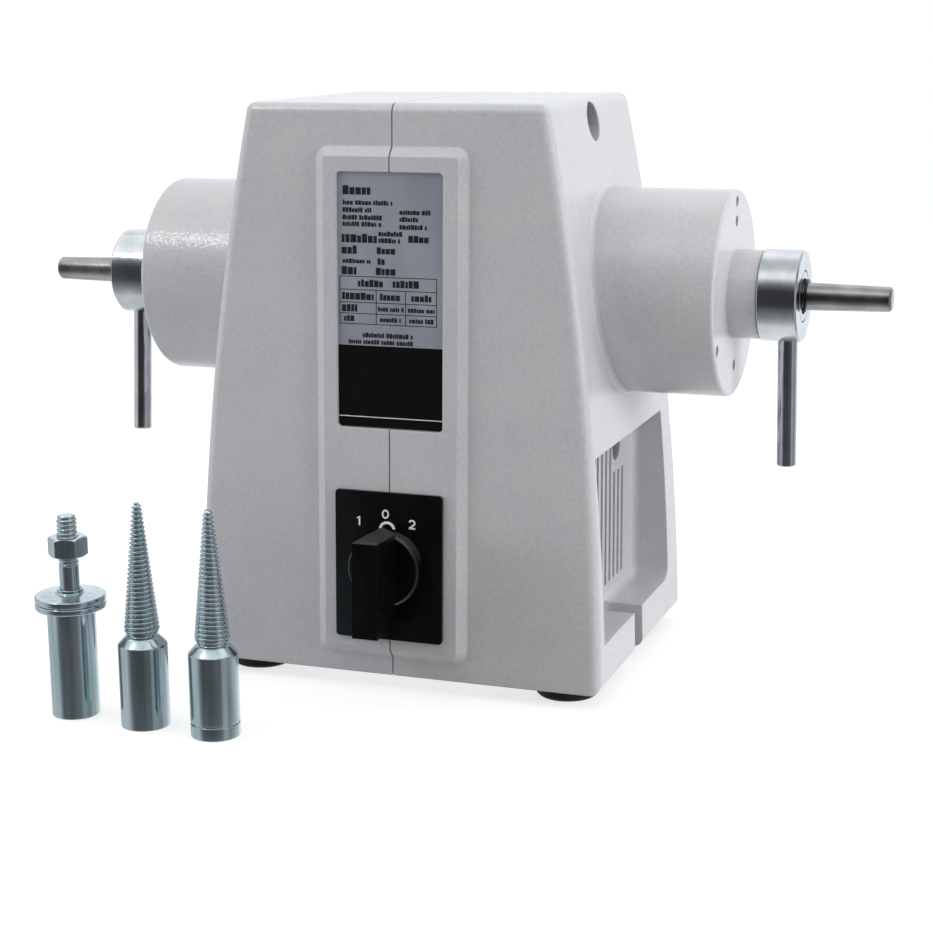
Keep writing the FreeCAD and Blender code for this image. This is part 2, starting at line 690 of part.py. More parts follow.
def recess():
    """Cutter of the side recess, with rounded inner corners."""
    box = block("recess_box", ("recess_wall", "half_width + wall"), ("-recess_front", "recess_back"),
                ("recess_floor", "recess_top"))
    doc.recompute()
    fillet = doc.addObject("Part::Fillet", "recess")
    fillet.Base = box
    edges = []
    for i, edge in enumerate(box.Shape.Edges, 1):
        bounds = edge.BoundBox
        toe = bounds.YMin > value("recess_back") - 1 and bounds.ZMax < value("recess_floor") + 1
        if toe or bounds.XMax < value("half_width"):
            size = value("recess_toe" if toe else "recess_round")
            edges.append((i, size, size))
    fillet.Edges = edges
    return fillet


def vents():
    first = "vent_middle - (vent_count - 1) / 2 * vent_pitch - vent_width / 2"
    slots = []
    for k in range(int(value("vent_count"))):
        low = f"{first} + {k} * vent_pitch"
        off_middle = abs(value(low) + value("vent_width") / 2 - value("vent_middle"))
        beside = off_middle > value("low_screw_span - low_counterbore - vent_width / 2")
        top = "vent_high" if beside else "vent_tall"
        slots.append(block(f"vent_{k}", ("recess_wall - 2 * wall", "recess_wall + 1"),
                           (low, f"{low} + vent_width"), ("vent_low", top)))
    return slots


def bench_slot():
    low, high = "bench_slot_y - bench_slot / 2", "bench_slot_y + bench_slot / 2"
    mouth = block("bench_slot_mouth", ("bench_slot_end", "half_width + wall"), (low, high),
                  ("casing_foot - 1", "recess_floor + 1"))
    end = rod("bench_slot_round", "Z", "casing_foot - 1", "recess_floor + 1", "bench_slot / 2",
              ("bench_slot_end", "bench_slot_y"))
    return fuse("bench_slot_cut", mouth, end)


def corner_spots(x, front, back):
    """Front and back places on the right half."""
    return [(x, front), (x, back)]


def half_blank():
    """Everything that both halves share, drawn as the right half."""
    form = casing_block("casing_form", "0", "seam_gap / 2")
    shell = rounded("casing_rounded", form, "edge_round", outer_edge)
    solid = fuse("casing_solid", shell, hub(), plinth())
    hollow = casing_block("casing_hollow", "wall", "-1")
    guard = block("recess_guard", ("recess_wall - wall", "half_width + 2 * wall"),
                  ("-front_bottom - wall", "back_bottom + wall"), ("0", "recess_top + wall"))
    cavity = cut("casing_cavity", hollow, guard)
    bore = rod("hub_bore_cut", "X", "0", "web_start", "hub_bore", ("0", "axis_height"))
    shell = cut("casing_shell", solid, cavity, bore)

    ring = rod("seat_ring_outer", "X", "seam_gap / 2", "stator_half + seat_lip", "seat_ring",
               ("0", "axis_height"))
    ring = common("seat_ring_inside", ring, casing_block("casing_limit", "0", "seam_gap / 2"))
    ring = cut("seat_ring_bored", ring,
               rod("seat_bore", "X", "-1", "stator_half + seat_clear", "stator_radius + seat_clear",
                   ("0", "axis_height")),
               rod("seat_lip_bore", "X", "-1", "stator_half + 2 * seat_lip", "stator_radius - seat_lip",
                   ("0", "axis_height")))
    bosses = [rod(f"screw_boss_{k}", "X", "0", "recess_wall - wall / 2" if k else "top_screw_seat + wall",
                  "boss", (y, z)) for k, (y, z, seat, bore) in enumerate(screw_axes())]
    for k, (x, y) in enumerate(corner_spots("base_screw_x", "base_screw_in - front_bottom",
                                            "back_bottom - base_screw_in")):
        bosses.append(rod(f"base_boss_{k}", "Z", "casing_foot + base_thick", "base_boss_top", "base_boss",
                          (x, y)))
    whole = fuse("casing_whole", shell, ring, *bosses)

    seat = rod("bearing_seat", "X", "web_start - 1", "bearing_end + seat_clear",
               "bearing_outer + seat_clear", ("0", "axis_height"))
    passage = rod("passage_bore", "X", "web_start - 1", "guide_start", "passage", ("0", "axis_height"))
    guide = rod("guide_bore_cut", "X", "guide_start - 1", "nose_end + 1", "guide_bore", ("0", "axis_height"))
    cuts = [recess(), bench_slot(), seat, passage, guide] + vents()
    for k, (angle, circle_radius) in enumerate([(90, "cover_circle"), (210, "cover_circle"),
                                                (330, "cover_circle"), (90, "jack_circle"),
                                                (270, "jack_circle")]):
        cuts.append(rod(f"hub_hole_{k}", "X", "hub_end - hub_tap_depth", "hub_end + 1", "hub_tap",
                        (f"{circle_radius} * cos({angle} deg)",
                         f"axis_height + {circle_radius} * sin({angle} deg)")))
    for k, (x, y) in enumerate(corner_spots("base_screw_x", "base_screw_in - front_bottom",
                                            "back_bottom - base_screw_in")):
        cuts.append(rod(f"base_tap_{k}", "Z", "casing_foot", "base_boss_top - base_boss",
                        "base_screw + thread_clear", (x, y)))
    for k, (x, y) in enumerate(corner_spots("foot_x", "foot_front", "foot_back")):
        cuts.append(rod(f"foot_tap_{k}", "Z", "casing_foot - 1", "casing_foot + foot_screw_len + 1",
                        "foot_screw + thread_clear", (x, y)))
    cuts.append(front_slab("label_recess", "label_half", up_front("label_low"), up_front("label_high"),
                           "plinth_rise - label_depth", "plinth_rise + 2", "label_corner"))
    opening = rod("switch_opening", "Z", "0", "4 * wall", "housing_neck + opening_gap")
    cuts.append(on_front(opening, "0", up_front("switch_z"), "-2 * wall"))
    return cut("casing_half", whole, *cuts)


def casing():
    blank = half_blank()
    holes = []
    for k, (y, z, seat, bore) in enumerate(screw_axes()):
        holes.append(rod(f"clear_hole_{k}", "X", "-1", seat, "screw + screw_clear", (y, z)))
        holes.append(rod(f"counterbore_{k}", "X", seat, "half_width + wall", bore, (y, z)))
    keep("casing_right", cut("casing_right_cut", blank, *holes))
    taps = [rod(f"tapped_hole_{k}", "X", "-screw_grip - 3", "1", "screw + thread_clear", (y, z))
            for k, (y, z, seat, bore) in enumerate(screw_axes())]
    spring = rod("wave_seat", "X", "-bearing_end - wave_thick - 2 * seat_clear", "-bearing_start",
                 "bearing_outer + seat_clear", ("0", "axis_height"))
    gland = rod("gland_hole", "Z", "0", "3 * wall", "gland_thread + thread_clear")
    on_back(gland, "gland_x", "gland_up", "-2 * wall")
    keep("casing_left", cut("casing_left_cut", mirrored("left_blank", blank), spring, gland, *taps))


def socket_screw(name, axis_y, axis_z, seat, end):
    """Socket head cap screw along X, head outwards."""
    body = along_x(name, [
        (end, "0"), (end, "screw - 0.8"), (f"{end} + 0.8", "screw"), (seat, "screw"),
        (seat, "screw_head"), (f"{seat} + screw_head_len - 0.5", "screw_head"),
        (f"{seat} + screw_head_len", "screw_head - 0.5"), (f"{seat} + screw_head_len", "0")])
    sketch = outline(sketch_on(body, "YZ_Plane", f"{seat} + screw_head_len"), hexagon("screw_socket"))
    pocket(body, sketch, "screw_head_len / 2")
    return put(body, "0", axis_y, axis_z)


def casing_screws():
    screws = [socket_screw(f"casing_screw_{k}", y, z, seat, "-screw_grip")
              for k, (y, z, seat, bore) in enumerate(screw_axes())]
    keep("casing_screws", group("casing_screws", *screws))


def pan_screw(name, radius, length, head, head_tall, recess):
    """Pan head screw standing on its local Z, head down, cross recess drawn as a square."""
    body = along_z(name, [
        ("0", f"-({head_tall})"), (f"({head}) - 0.6", f"-({head_tall})"), (head, f"0.6 - ({head_tall})"),
        (head, "0"), (radius, "0"), (radius, length), ("0", length)])
    sketch = outline(sketch_on(body, "XY_Plane", f"-({head_tall})"), rectangle(recess, recess))
    pocket(body, sketch, f"({head_tall}) / 2", reverse=True)
    return body


def base():
    """Base plate with its screws, and the four rubber feet with theirs."""
    side = "recess_wall - wall - fit_gap"
    front, back = "-front_bottom + wall + 1", "back_bottom - wall - 1"
    plate = new_body("base_plate")
    sketch = outline(sketch_on(plate, "XY_Plane"), rectangle(
        side, f"(({back}) - ({front})) / 2", f"(({back}) + ({front})) / 2"))
    pad(plate, sketch, "base_thick")
    spots = [(f"{s} * base_screw_x", y) for s in (-1, 1)
             for y in ("base_screw_in - front_bottom", "back_bottom - base_screw_in")]
    clip = [("0", "cap_y - tab_screw"), ("0", "cap_y + tab_screw")]
    holes = sketch_on(plate, "XY_Plane")
    for x, y in spots + clip:
        circle(holes, x, y, "base_screw + thread_clear")
    pocket(plate, holes, "base_thick", reverse=True)
    keep("base_plate", put(plate, z="casing_foot"))
    screws = [put(pan_screw(f"base_screw_{k}", "base_screw", "base_thick + base_screw_len", "2 * base_screw",
                            "base_screw", "base_screw / 2"), x, y, "casing_foot")
              for k, (x, y) in enumerate(spots)]
    keep("base_plate_screws", group("base_plate_screws", *screws))
    feet, foot_screws = [], []
    for k, (x, y) in enumerate([(f"{s} * foot_x", y) for s in (-1, 1) for y in ("foot_front", "foot_back")]):
        foot = along_z(f"foot_{k}", [
            ("foot_screw + thread_clear", "foot_cup_depth"), ("foot_cup", "foot_cup_depth"),
            ("foot_cup", "0"), ("foot_radius - 1.2", "0"), ("foot_radius", "1.2"),
            ("foot_radius", "casing_foot"), ("foot_screw + thread_clear", "casing_foot")])
        feet.append(put(foot, x, y))
        screw = pan_screw(f"foot_screw_{k}", "foot_screw",
                          "casing_foot - foot_cup_depth + foot_screw_len", "foot_cup - 1",
                          "foot_cup_depth - 1", "foot_screw / 2")
        foot_screws.append(put(screw, x, y, "foot_cup_depth"))
    keep("rubber_feet", group("rubber_feet", *feet))
    keep("foot_screws", group("foot_screws", *foot_screws))


# ---------------------------------------------------------------- front: name plate and switch

def front_parts():
    keep("name_plate", front_slab(
        "name_plate", "label_half - fit_gap", up_front("label_low") + " + fit_gap",
        up_front("label_high") + " - fit_gap", "plinth_rise - label_depth",
        "plinth_rise - label_depth + label_thick", "label_corner"))
    middle = up_front("switch_z")

    plate = new_body("plate_blank")
    slab = pad(plate, outline(sketch_on(plate, "XY_Plane"), rectangle("switch_half", "switch_half_tall")),
               "switch_thick")
    round_corners(plate, slab, "switch_corner", stands_up)
    holes = circle(sketch_on(plate, "XY_Plane"), "0", "0", "spindle + 2 * slide_clear")
    pocket(plate, holes, "switch_thick", reverse=True)
    on_front(plate, up=middle, out="plinth_rise")
    screws, sinks = [], []
    for side in (-1, 1):
        for bunch, gap, tag in ((screws, "0", "screw"), (sinks, "thread_clear", "sink")):
            body = along_z(f"switch_{tag}_{side + 1}", [
                ("0", "-switch_thick - plinth_rise - wall - housing_wall + 1"),
                (f"plate_screw + {gap}", "-switch_thick - plinth_rise - wall - housing_wall + 1"),
                (f"plate_screw + {gap}", f"plate_screw - plate_screw_head - {gap}"),
                (f"plate_screw_head + {gap}", "0"), ("0", "0")])
            bunch.append(on_front(body, f"{side} * plate_screw_x", middle, "plate_face"))
    keep("switch_plate", cut("switch_plate", plate, *sinks))
    keep("switch_screws", group("switch_screws", *screws))

    neck = along_z("housing_neck_body", [
        ("0", "-wall - housing_wall"), ("housing_neck", "-wall - housing_wall"),
        ("housing_neck", "plinth_rise"), ("0", "plinth_rise")])
    on_front(neck, up=middle)
    housing = new_body("housing_box")
    pad(housing, outline(sketch_on(housing, "XY_Plane"), rectangle("housing_half", "housing_half")),
        "housing_depth")
    on_front(housing, up=middle, out="-wall - housing_depth")
    room = rod("housing_room", "Z", "0", "housing_depth - 2 * housing_wall", "cam + 1")
    on_front(room, up=middle, out="-wall - housing_depth + housing_wall")
    hole = rod("housing_hole", "Z", "0", "housing_depth + 3 * wall", "spindle + slide_clear")
    on_front(hole, up=middle, out="-wall - housing_depth + 1")
    keep("switch_housing", cut("switch_housing", fuse("housing_solid", housing, neck), room, hole, *sinks))

    spindle = along_z("switch_spindle", [
        ("0", "-wall - housing_depth - plinth_rise + 2"),
        ("spindle", "-wall - housing_depth - plinth_rise + 2"),
        ("spindle", "switch_thick + knob_disc_top - grip_lap"),
        ("0", "switch_thick + knob_disc_top - grip_lap")])
    first = "-wall - housing_depth - plinth_rise + housing_wall + 2"
    for k in range(int(value("cam_count"))):
        lobe = sketch_on(spindle, "XY_Plane", f"{first} + {k} * cam_pitch")
        outline(lobe, rectangle("cam * 0.85", "cam * 0.5"))
        pad(spindle, lobe, "cam_thick")
    keep("switch_spindle", on_front(spindle, up=middle, out="plinth_rise"))

    knob = along_z("switch_knob", [
        ("spindle + thread_clear", "knob_gap"), ("knob_disc", "knob_gap"),
        ("knob_disc", "knob_disc_top - 1"), ("knob_disc - 1", "knob_disc_top"),
        ("spindle + thread_clear", "knob_disc_top")])
    nose = circle(sketch_on(knob, "XY_Plane", "knob_gap"), "0", "tip_centre", "tip_radius")
    pad(knob, nose, "tip_top - knob_gap")
    bar = outline(sketch_on(knob, "XY_Plane", "knob_disc_top - grip_lap"), [
        ("grip_half", "-grip_down"), ("grip_half", "grip_up"), ("0", "grip_point"),
        ("-grip_half", "grip_up"), ("-grip_half", "-grip_down")])
    pad(knob, bar, "grip_top - knob_disc_top + grip_lap")
    slope = outline(sketch_on(knob, "YZ_Plane"), [
        ("grip_up", "grip_top"), ("grip_point + 5", "grip_top"), ("grip_point + 5", "knob_disc_top - 1"),
        ("grip_point", "knob_disc_top - 1")])
    pocket(knob, slope, "4 * grip_half", symmetric=True)
    keep("switch_knob", on_front(knob, up=middle, out="plate_face"))

    mark = new_body("pointer_mark")
    arch = sketch_on(mark, "XY_Plane", "tip_top")
    circle(arch, "0", "tip_centre", "tip_radius")
    circle(arch, "0", "tip_centre", "tip_radius - mark_width")
    pad(mark, arch, "mark_thick")
    lower = outline(sketch_on(mark, "XY_Plane", "tip_top"), rectangle(
        "2 * tip_radius", "tip_radius", "tip_centre - tip_radius + 0.6"))
    pocket(mark, lower, "2 * mark_thick", reverse=True)
    keep("pointer_mark", on_front(mark, up=middle, out="plate_face"))


# ---------------------------------------------------------------- motor

def motor():
    core = new_body("stator_core")
    ring = sketch_on(core, "YZ_Plane")
    circle(ring, "0", "0", "stator_radius")
    circle(ring, "0", "0", "stator_bore")
    pad(core, ring, "2 * stator_half", symmetric=True)
    slot = outline(sketch_on(core, "YZ_Plane"), rectangle(
        "slot_width / 2", "(slot_high - slot_low) / 2", "(slot_high + slot_low) / 2"))
    first = pocket(core, slot, "4 * stator_half", symmetric=True)
    ring_of(core, first, "slot_count", "X_Axis")
    keep("stator_core", put(core, z="axis_height"))

    inner, outer = "coil_inner", "coil_outer"
    rings = []
    for side in (-1, 1):
        start, end = f"{side} * (stator_half + coil_gap)", f"{side} * coil_end"
        soft = f"{side} * (coil_end - 4)"
        rings.append([(start, inner), (start, f"{outer} - 5"), (f"{side} * (stator_half + 7)", outer),
                      (soft, outer), (end, f"{outer} - 5"), (end, f"{inner} + 3"), (soft, inner)])
    coils = along_x("stator_winding", *rings)
    side = outline(sketch_on(coils, "YZ_Plane"), rectangle(
        "slot_width / 2 - coil_clear", "(slot_high - slot_low) / 2 - coil_clear - 0.5",
        "(slot_high + slot_low) / 2 + 0.5"))
    bar = pad(coils, side, "2 * (stator_half + coil_gap + 2)", symmetric=True)
    ring_of(coils, bar, "slot_count", "X_Axis")
    keep("stator_winding", put(coils, z="axis_height"))

    rotor = new_body("rotor_core")
    disc = sketch_on(rotor, "YZ_Plane")
    circle(disc, "0", "0", "stator_bore - air_gap")
    circle(disc, "0", "0", "rotor_seat + seat_clear")
    pad(rotor, disc, "2 * stator_half", symmetric=True)
    hole = circle(sketch_on(rotor, "YZ_Plane"), "0", "bar_circle", "bar_radius + thread_clear")
    first = pocket(rotor, hole, "4 * stator_half", symmetric=True)
    ring_of(rotor, first, "bar_count", "X_Axis")
    keep("rotor_core", put(rotor, z="axis_height"))

    top = "stator_bore - air_gap - 1"
    cage = along_x("rotor_cage", *[[
        (f"{s} * stator_half", "cage_inner"), (f"{s} * stator_half", top),
        (f"{s} * (stator_half + cage_ring)", top), (f"{s} * (stator_half + cage_ring)", "cage_inner")]
        for s in (-1, 1)])
    rung = circle(sketch_on(cage, "YZ_Plane"), "0", "bar_circle", "bar_radius")
    bar = pad(cage, rung, "2 * stator_half + cage_ring", symmetric=True)
    ring_of(cage, bar, "bar_count", "X_Axis")
    keep("rotor_cage", put(cage, z="axis_height"))

    fan = along_x("cooling_fan", [
        ("-fan_start - fan_width", "shaft_body + seat_clear"), ("-fan_start - fan_width", "fan_hub"),
        ("-fan_start - fan_plate", "fan_hub"), ("-fan_start - fan_plate", "fan_radius"),
        ("-fan_start", "fan_radius"), ("-fan_start", "shaft_body + seat_clear")])
    blade = outline(sketch_on(fan, "XY_Plane", "-fan_blade / 2"), [
        ("-fan_start - fan_width", "fan_hub - 1"), ("-fan_start - fan_width", "fan_radius - 4"),
        ("-fan_start - fan_plate / 2", "fan_radius"), ("-fan_start - fan_plate / 2", "fan_hub - 1")])
    first = pad(fan, blade, "fan_blade")
    ring_of(fan, first, "fan_blades", "X_Axis")
    keep("cooling_fan", put(fan, z="axis_height"))

    keep("motor_shaft", put(along_x("motor_shaft", shaft_outline()), z="axis_height"))


def shaft_outline():
    """Half of the shaft's steps from the middle out, then the same mirrored."""
    groove = "bearing_end + seat_clear"
    half = [
        ("rotor_seat_half", "rotor_seat"), ("rotor_seat_half", "shaft_body"),
        ("bearing_start - seat_clear", "shaft_body"),
        ("bearing_start - seat_clear", "bearing_bore - seat_clear"),
        (groove, "bearing_bore - seat_clear"), (groove, "bearing_bore - circlip_depth"),
        (f"{groove} + circlip_thick + 0.1", "bearing_bore - circlip_depth"),
        (f"{groove} + circlip_thick + 0.1", "bearing_bore - seat_clear"),
        ("seal_start - 0.5", "bearing_bore - seat_clear"), ("seal_start - 0.5", "neck"),
        ("neck_end", "neck"), ("neck_end", "taper_base"),
        ("ring_start", "taper_base"), ("ring_start", "taper_base - ring_depth"),
        ("ring_start + circlip_thick + 0.1", "taper_base - ring_depth"),
        ("ring_start + circlip_thick + 0.1", "taper_base"),
        ("shaft_end - shaft_chamfer", "taper_tip"), ("shaft_end", "taper_tip - shaft_chamfer"),
        ("shaft_end", "0")]
    left = [(f"-({x})", radius) for x, radius in reversed(half)]
    return left + half


def turned_both(name, points):
    """The same turned ring on both sides, one node."""
    outlines = [[(f"{s} * ({x})", radius) for x, radius in points] for s in (-1, 1)]
    return keep(name, put(along_x(name, *outlines), z="axis_height"))


def bearing(side, name):
    """Deep groove ball bearing: two grooved rings, a cage and its balls."""
    low, high = f"{side} * bearing_start", f"{side} * bearing_end"
    middle = f"{side} * (bearing_start + bearing_width / 2)"
    groove = doc.addObject("Part::Torus", f"groove_{name}")
    tip_over(groove, V(0, 1, 0), "90")
    bind(groove, Radius1="ball_circle", Radius2="ball + groove_gap")
    put(groove, middle, "0", "axis_height")
    walls = {"outer": ("outer_land", "bearing_outer"), "inner": ("bearing_bore", "inner_land")}
    for ring, (inner, outer) in walls.items():
        race = along_x(f"{ring}_race_{name}", [(low, inner), (high, inner), (high, outer), (low, outer)])
        put(race, z="axis_height")
        keep(f"bearing_{ring}_{name}", cut(f"bearing_{ring}_{name}", race, groove))
    edge = f"{middle} + cage_width / 2", f"{middle} - cage_width / 2"
    hoop = along_x(f"hoop_{name}", [
        (edge[0], "ball_circle - cage_half"), (edge[1], "ball_circle - cage_half"),
        (edge[1], "ball_circle + cage_half"), (edge[0], "ball_circle + cage_half")])
    put(hoop, z="axis_height")
    balls, pockets = [], []
    for k in range(int(value("ball_count"))):
        for radius, bunch, tag in (("ball", balls, "ball"), ("ball + groove_gap", pockets, "pocket")):
            ball = doc.addObject("Part::Sphere", f"{tag}_{name}_{k}")
            bind(ball, Radius=radius)
            angle = f"{k} * 360 deg / ball_count"
            put(ball, middle, f"ball_circle * cos({angle})", f"axis_height + ball_circle * sin({angle})")
            bunch.append(ball)
    keep(f"bearing_cage_{name}", cut(f"bearing_cage_{name}", hoop, *pockets))
    keep(f"bearing_balls_{name}", group(f"bearing_balls_{name}", *balls))


def bearings():
    bearing(-1, "left")
    bearing(1, "right")
    clip = "bearing_end + seat_clear + 0.05"
    turned_both("bearing_circlips", [
        (clip, "bearing_bore - circlip_depth + seat_clear"), (clip, "circlip_outer"),
        (f"{clip} + circlip_thick", "circlip_outer"),
        (f"{clip} + circlip_thick", "bearing_bore - circlip_depth + seat_clear")])
    turned_both("shaft_seals", [
        ("seal_start", "neck + seat_clear"), ("seal_start", "seal_radius - 1.5"),
        ("seal_start + seal_width / 2", "seal_radius - 1.5"),
        ("seal_start + seal_width", "seal_radius"), ("seal_start + seal_width", "neck + seat_clear")])
    keep("wave_spring", put(along_x("wave_spring", [
        ("-bearing_end - seat_clear", "wave_inner"), ("-bearing_end - seat_clear", "bearing_outer - 0.5"),
        ("-bearing_end - seat_clear - wave_thick", "bearing_outer - 0.5"),
        ("-bearing_end - seat_clear - wave_thick", "wave_inner")]), z="axis_height"))


# ---------------------------------------------------------------- ejectors

def ejector(side, name):
    """Collar that the lever turns, the lever, and the push ring that meets the chuck."""
    def at(text):
        return f"{side} * ({text})"
    body = along_x(f"collar_{name}", [
        (at("spigot_end + collar_gap"), "nose_radius + slide_clear"),
        (at("spigot_end + collar_gap"), "collar_radius - collar_chamfer / 2"),
        (at("spigot_end + collar_gap + collar_chamfer / 2"), "collar_radius"),
        (at("collar_end - collar_chamfer"), "collar_radius"),
        (at("collar_end"), "collar_radius - collar_chamfer"),
        (at("collar_end"), "push_outer + lip_clear"),
        (at("collar_end - collar_lip"), "push_outer + lip_clear"),
        (at("collar_end - collar_lip"), "nose_radius + slide_clear")])
    put(body, z="axis_height")
    holes = along_z(f"lever_holes_{name}", [
        ("0", "-collar_radius - 1"), ("lever_radius + thread_clear", "-collar_radius - 1"),
        ("lever_radius + thread_clear", "-lever_seat"), ("dog_radius + thread_clear", "-lever_seat"),
        ("dog_radius + thread_clear", "0"), ("0", "0")])
    tip_over(put(holes, at("lever_x"), "0", "axis_height"), V(1, 0, 0), f"lever_lean_{name}")
    keep(f"ejector_collar_{name}", cut(f"ejector_collar_{name}", body, holes))
    lever = along_z(f"ejector_lever_{name}", [
        ("0", "-lever_end"), ("lever_radius - 0.6", "-lever_end"), ("lever_radius", "0.6 - lever_end"),
        ("lever_radius", "-lever_seat"), ("dog_radius", "-lever_seat"),
        ("dog_radius", "dog_groove - nose_radius - slide_clear"),
        ("0", "dog_groove - nose_radius - slide_clear")])
    tip_over(put(lever, at("lever_x"), "0", "axis_height"), V(1, 0, 0), f"lever_lean_{name}")
    keep(f"ejector_lever_{name}", lever)
    ring = along_x(f"push_ring_{name}", [
        (at("push_start"), "push_inner"), (at("push_start"), "push_outer"),
        (at("collar_end - 0.4"), "push_outer"), (at("collar_end"), "push_outer - 0.4"),
        (at("collar_end"), "push_inner")])
    keep(f"push_ring_{name}", put(ring, z="axis_height"))


def ejectors():
    ejector(-1, "left")
    ejector(1, "right")
    clips = []
    for side, name in ((-1, "left"), (1, "right")):
        start = f"{side} * (ring_start + 0.05)"
        clip = along_x(f"clip_{name}", [
            (start, "taper_base - ring_depth + seat_clear"), (start, "ring_outer"),
            (f"{side} * (ring_start + 0.05 + circlip_thick)", "ring_outer"),
            (f"{side} * (ring_start + 0.05 + circlip_thick)", "taper_base - ring_depth + seat_clear")])
        mouth = outline(sketch_on(clip, "YZ_Plane"), rectangle(
            "taper_base - ring_depth - 1", "ring_outer / 2", "-ring_outer / 2 - 2"))
        pocket(clip, mouth, "3 * ring_start", symmetric=True)
        clips.append(put(clip, z="axis_height"))
    keep("retaining_rings", group("retaining_rings", *clips))


# ---------------------------------------------------------------- electrics

def electrics():
    can = along_x("run_capacitor", [
        ("-cap_half", "0"), ("-cap_half", "cap_radius - 1.5"), ("1.5 - cap_half", "cap_radius"),
        ("cap_half", "cap_radius"), ("cap_half", "cap_radius - 2"), ("cap_half - 1", "cap_radius - 2"),
        ("cap_half - 1", "4"), ("cap_half + 5", "4"), ("cap_half + 5", "0")])
    keep("run_capacitor", put(can, "0", "cap_y", "cap_z"))

    hoop = along_x("clip_band", [
        ("-band_half", "cap_radius + seat_clear"), ("-band_half", "cap_radius + band"),
        ("band_half", "cap_radius + band"), ("band_half", "cap_radius + seat_clear")])
    put(hoop, "0", "cap_y", "cap_z")
    floor = "casing_foot + base_thick"
    leg = block("clip_leg", ("-band_half", "band_half"), ("cap_y - band_half", "cap_y + band_half"),
                (floor, "cap_z - cap_radius - band / 2"))
    tab = block("clip_tab", ("-band_half", "band_half"), ("cap_y - tab_reach", "cap_y + tab_reach"),
                (floor, f"{floor} + band"))
    holes = [rod(f"clip_hole_{k}", "Z", "0", "cap_z", "base_screw + thread_clear", ("0", y))
             for k, y in enumerate(("cap_y - tab_screw", "cap_y + tab_screw"))]
    inside = rod("clip_inside", "X", "-2 * band_half", "2 * band_half", "cap_radius + seat_clear",
                 ("cap_y", "cap_z"))
    keep("capacitor_clip", cut("capacitor_clip", fuse("clip_solid", hoop, leg, tab), inside, *holes))
    screws = []
    for k, y in enumerate(("cap_y - tab_screw", "cap_y + tab_screw")):
        screw = pan_screw(f"clip_screw_{k}", "base_screw", "base_thick + 1.6 * band", "2 * base_screw",
                          "base_screw", "base_screw / 2")
        tip_over(screw, V(1, 0, 0), "180")
        screws.append(put(screw, "0", y, f"{floor} + band"))
    keep("clip_screws", group("clip_screws", *screws))

    strip = new_body("terminal_block")
    pad(strip, outline(sketch_on(strip, "XY_Plane"), rectangle("block_long / 2", "block_deep / 2")),
        "block_tall")
    pitch = "block_long / block_ways"
    wells = sketch_on(strip, "XY_Plane", "block_tall")
    ways = int(value("block_ways"))
    for k in range(ways):
        for y in ("-block_deep / 4", "block_deep / 4"):
            circle(wells, f"({k} - (block_ways - 1) / 2) * {pitch}", y, "block_deep / 8")
    pocket(strip, wells, "block_tall / 2")
    keep("terminal_block", put(strip, "block_x", "block_y", floor))

    gland = along_z("cable_gland", [
        ("gland_bore", "-2 * wall - gland_nut"), ("gland_thread", "-2 * wall - gland_nut"),
        ("gland_thread", "gland_flange"), ("gland_cap", "gland_flange"),
        ("gland_cap", "gland_dome - 4"), ("gland_cap - 3", "gland_dome + 1"),
        ("gland_bore", "gland_dome + 1")])
    outer = outline(sketch_on(gland, "XY_Plane"), hexagon("gland_hex"))
    circle(outer, "0", "0", "gland_bore")
    pad(gland, outer, "gland_flange")
    keep("cable_gland", on_back(gland, "gland_x", "gland_up", "0"))
    nut = new_body("gland_nut_body")
    ring = outline(sketch_on(nut, "XY_Plane"), hexagon("gland_hex"))
    circle(ring, "0", "0", "gland_thread + thread_clear")
    pad(nut, ring, "gland_nut")
    keep("gland_locknut", on_back(nut, "gland_x", "gland_up", "-wall - gland_nut - 0.1"))


# ---------------------------------------------------------------- chucks

def taper_bore():
    """Corners of a chuck's bore, which fits the shaft's taper, from its mouth to its blind end."""
    slope = "(taper_base - taper_tip) / (shaft_end - ring_start)"
    return [("0", "bore_depth + 2"), (f"taper_base + bore_clear - {slope} * bore_depth", "bore_depth"),
            ("taper_base + bore_clear", "0")]


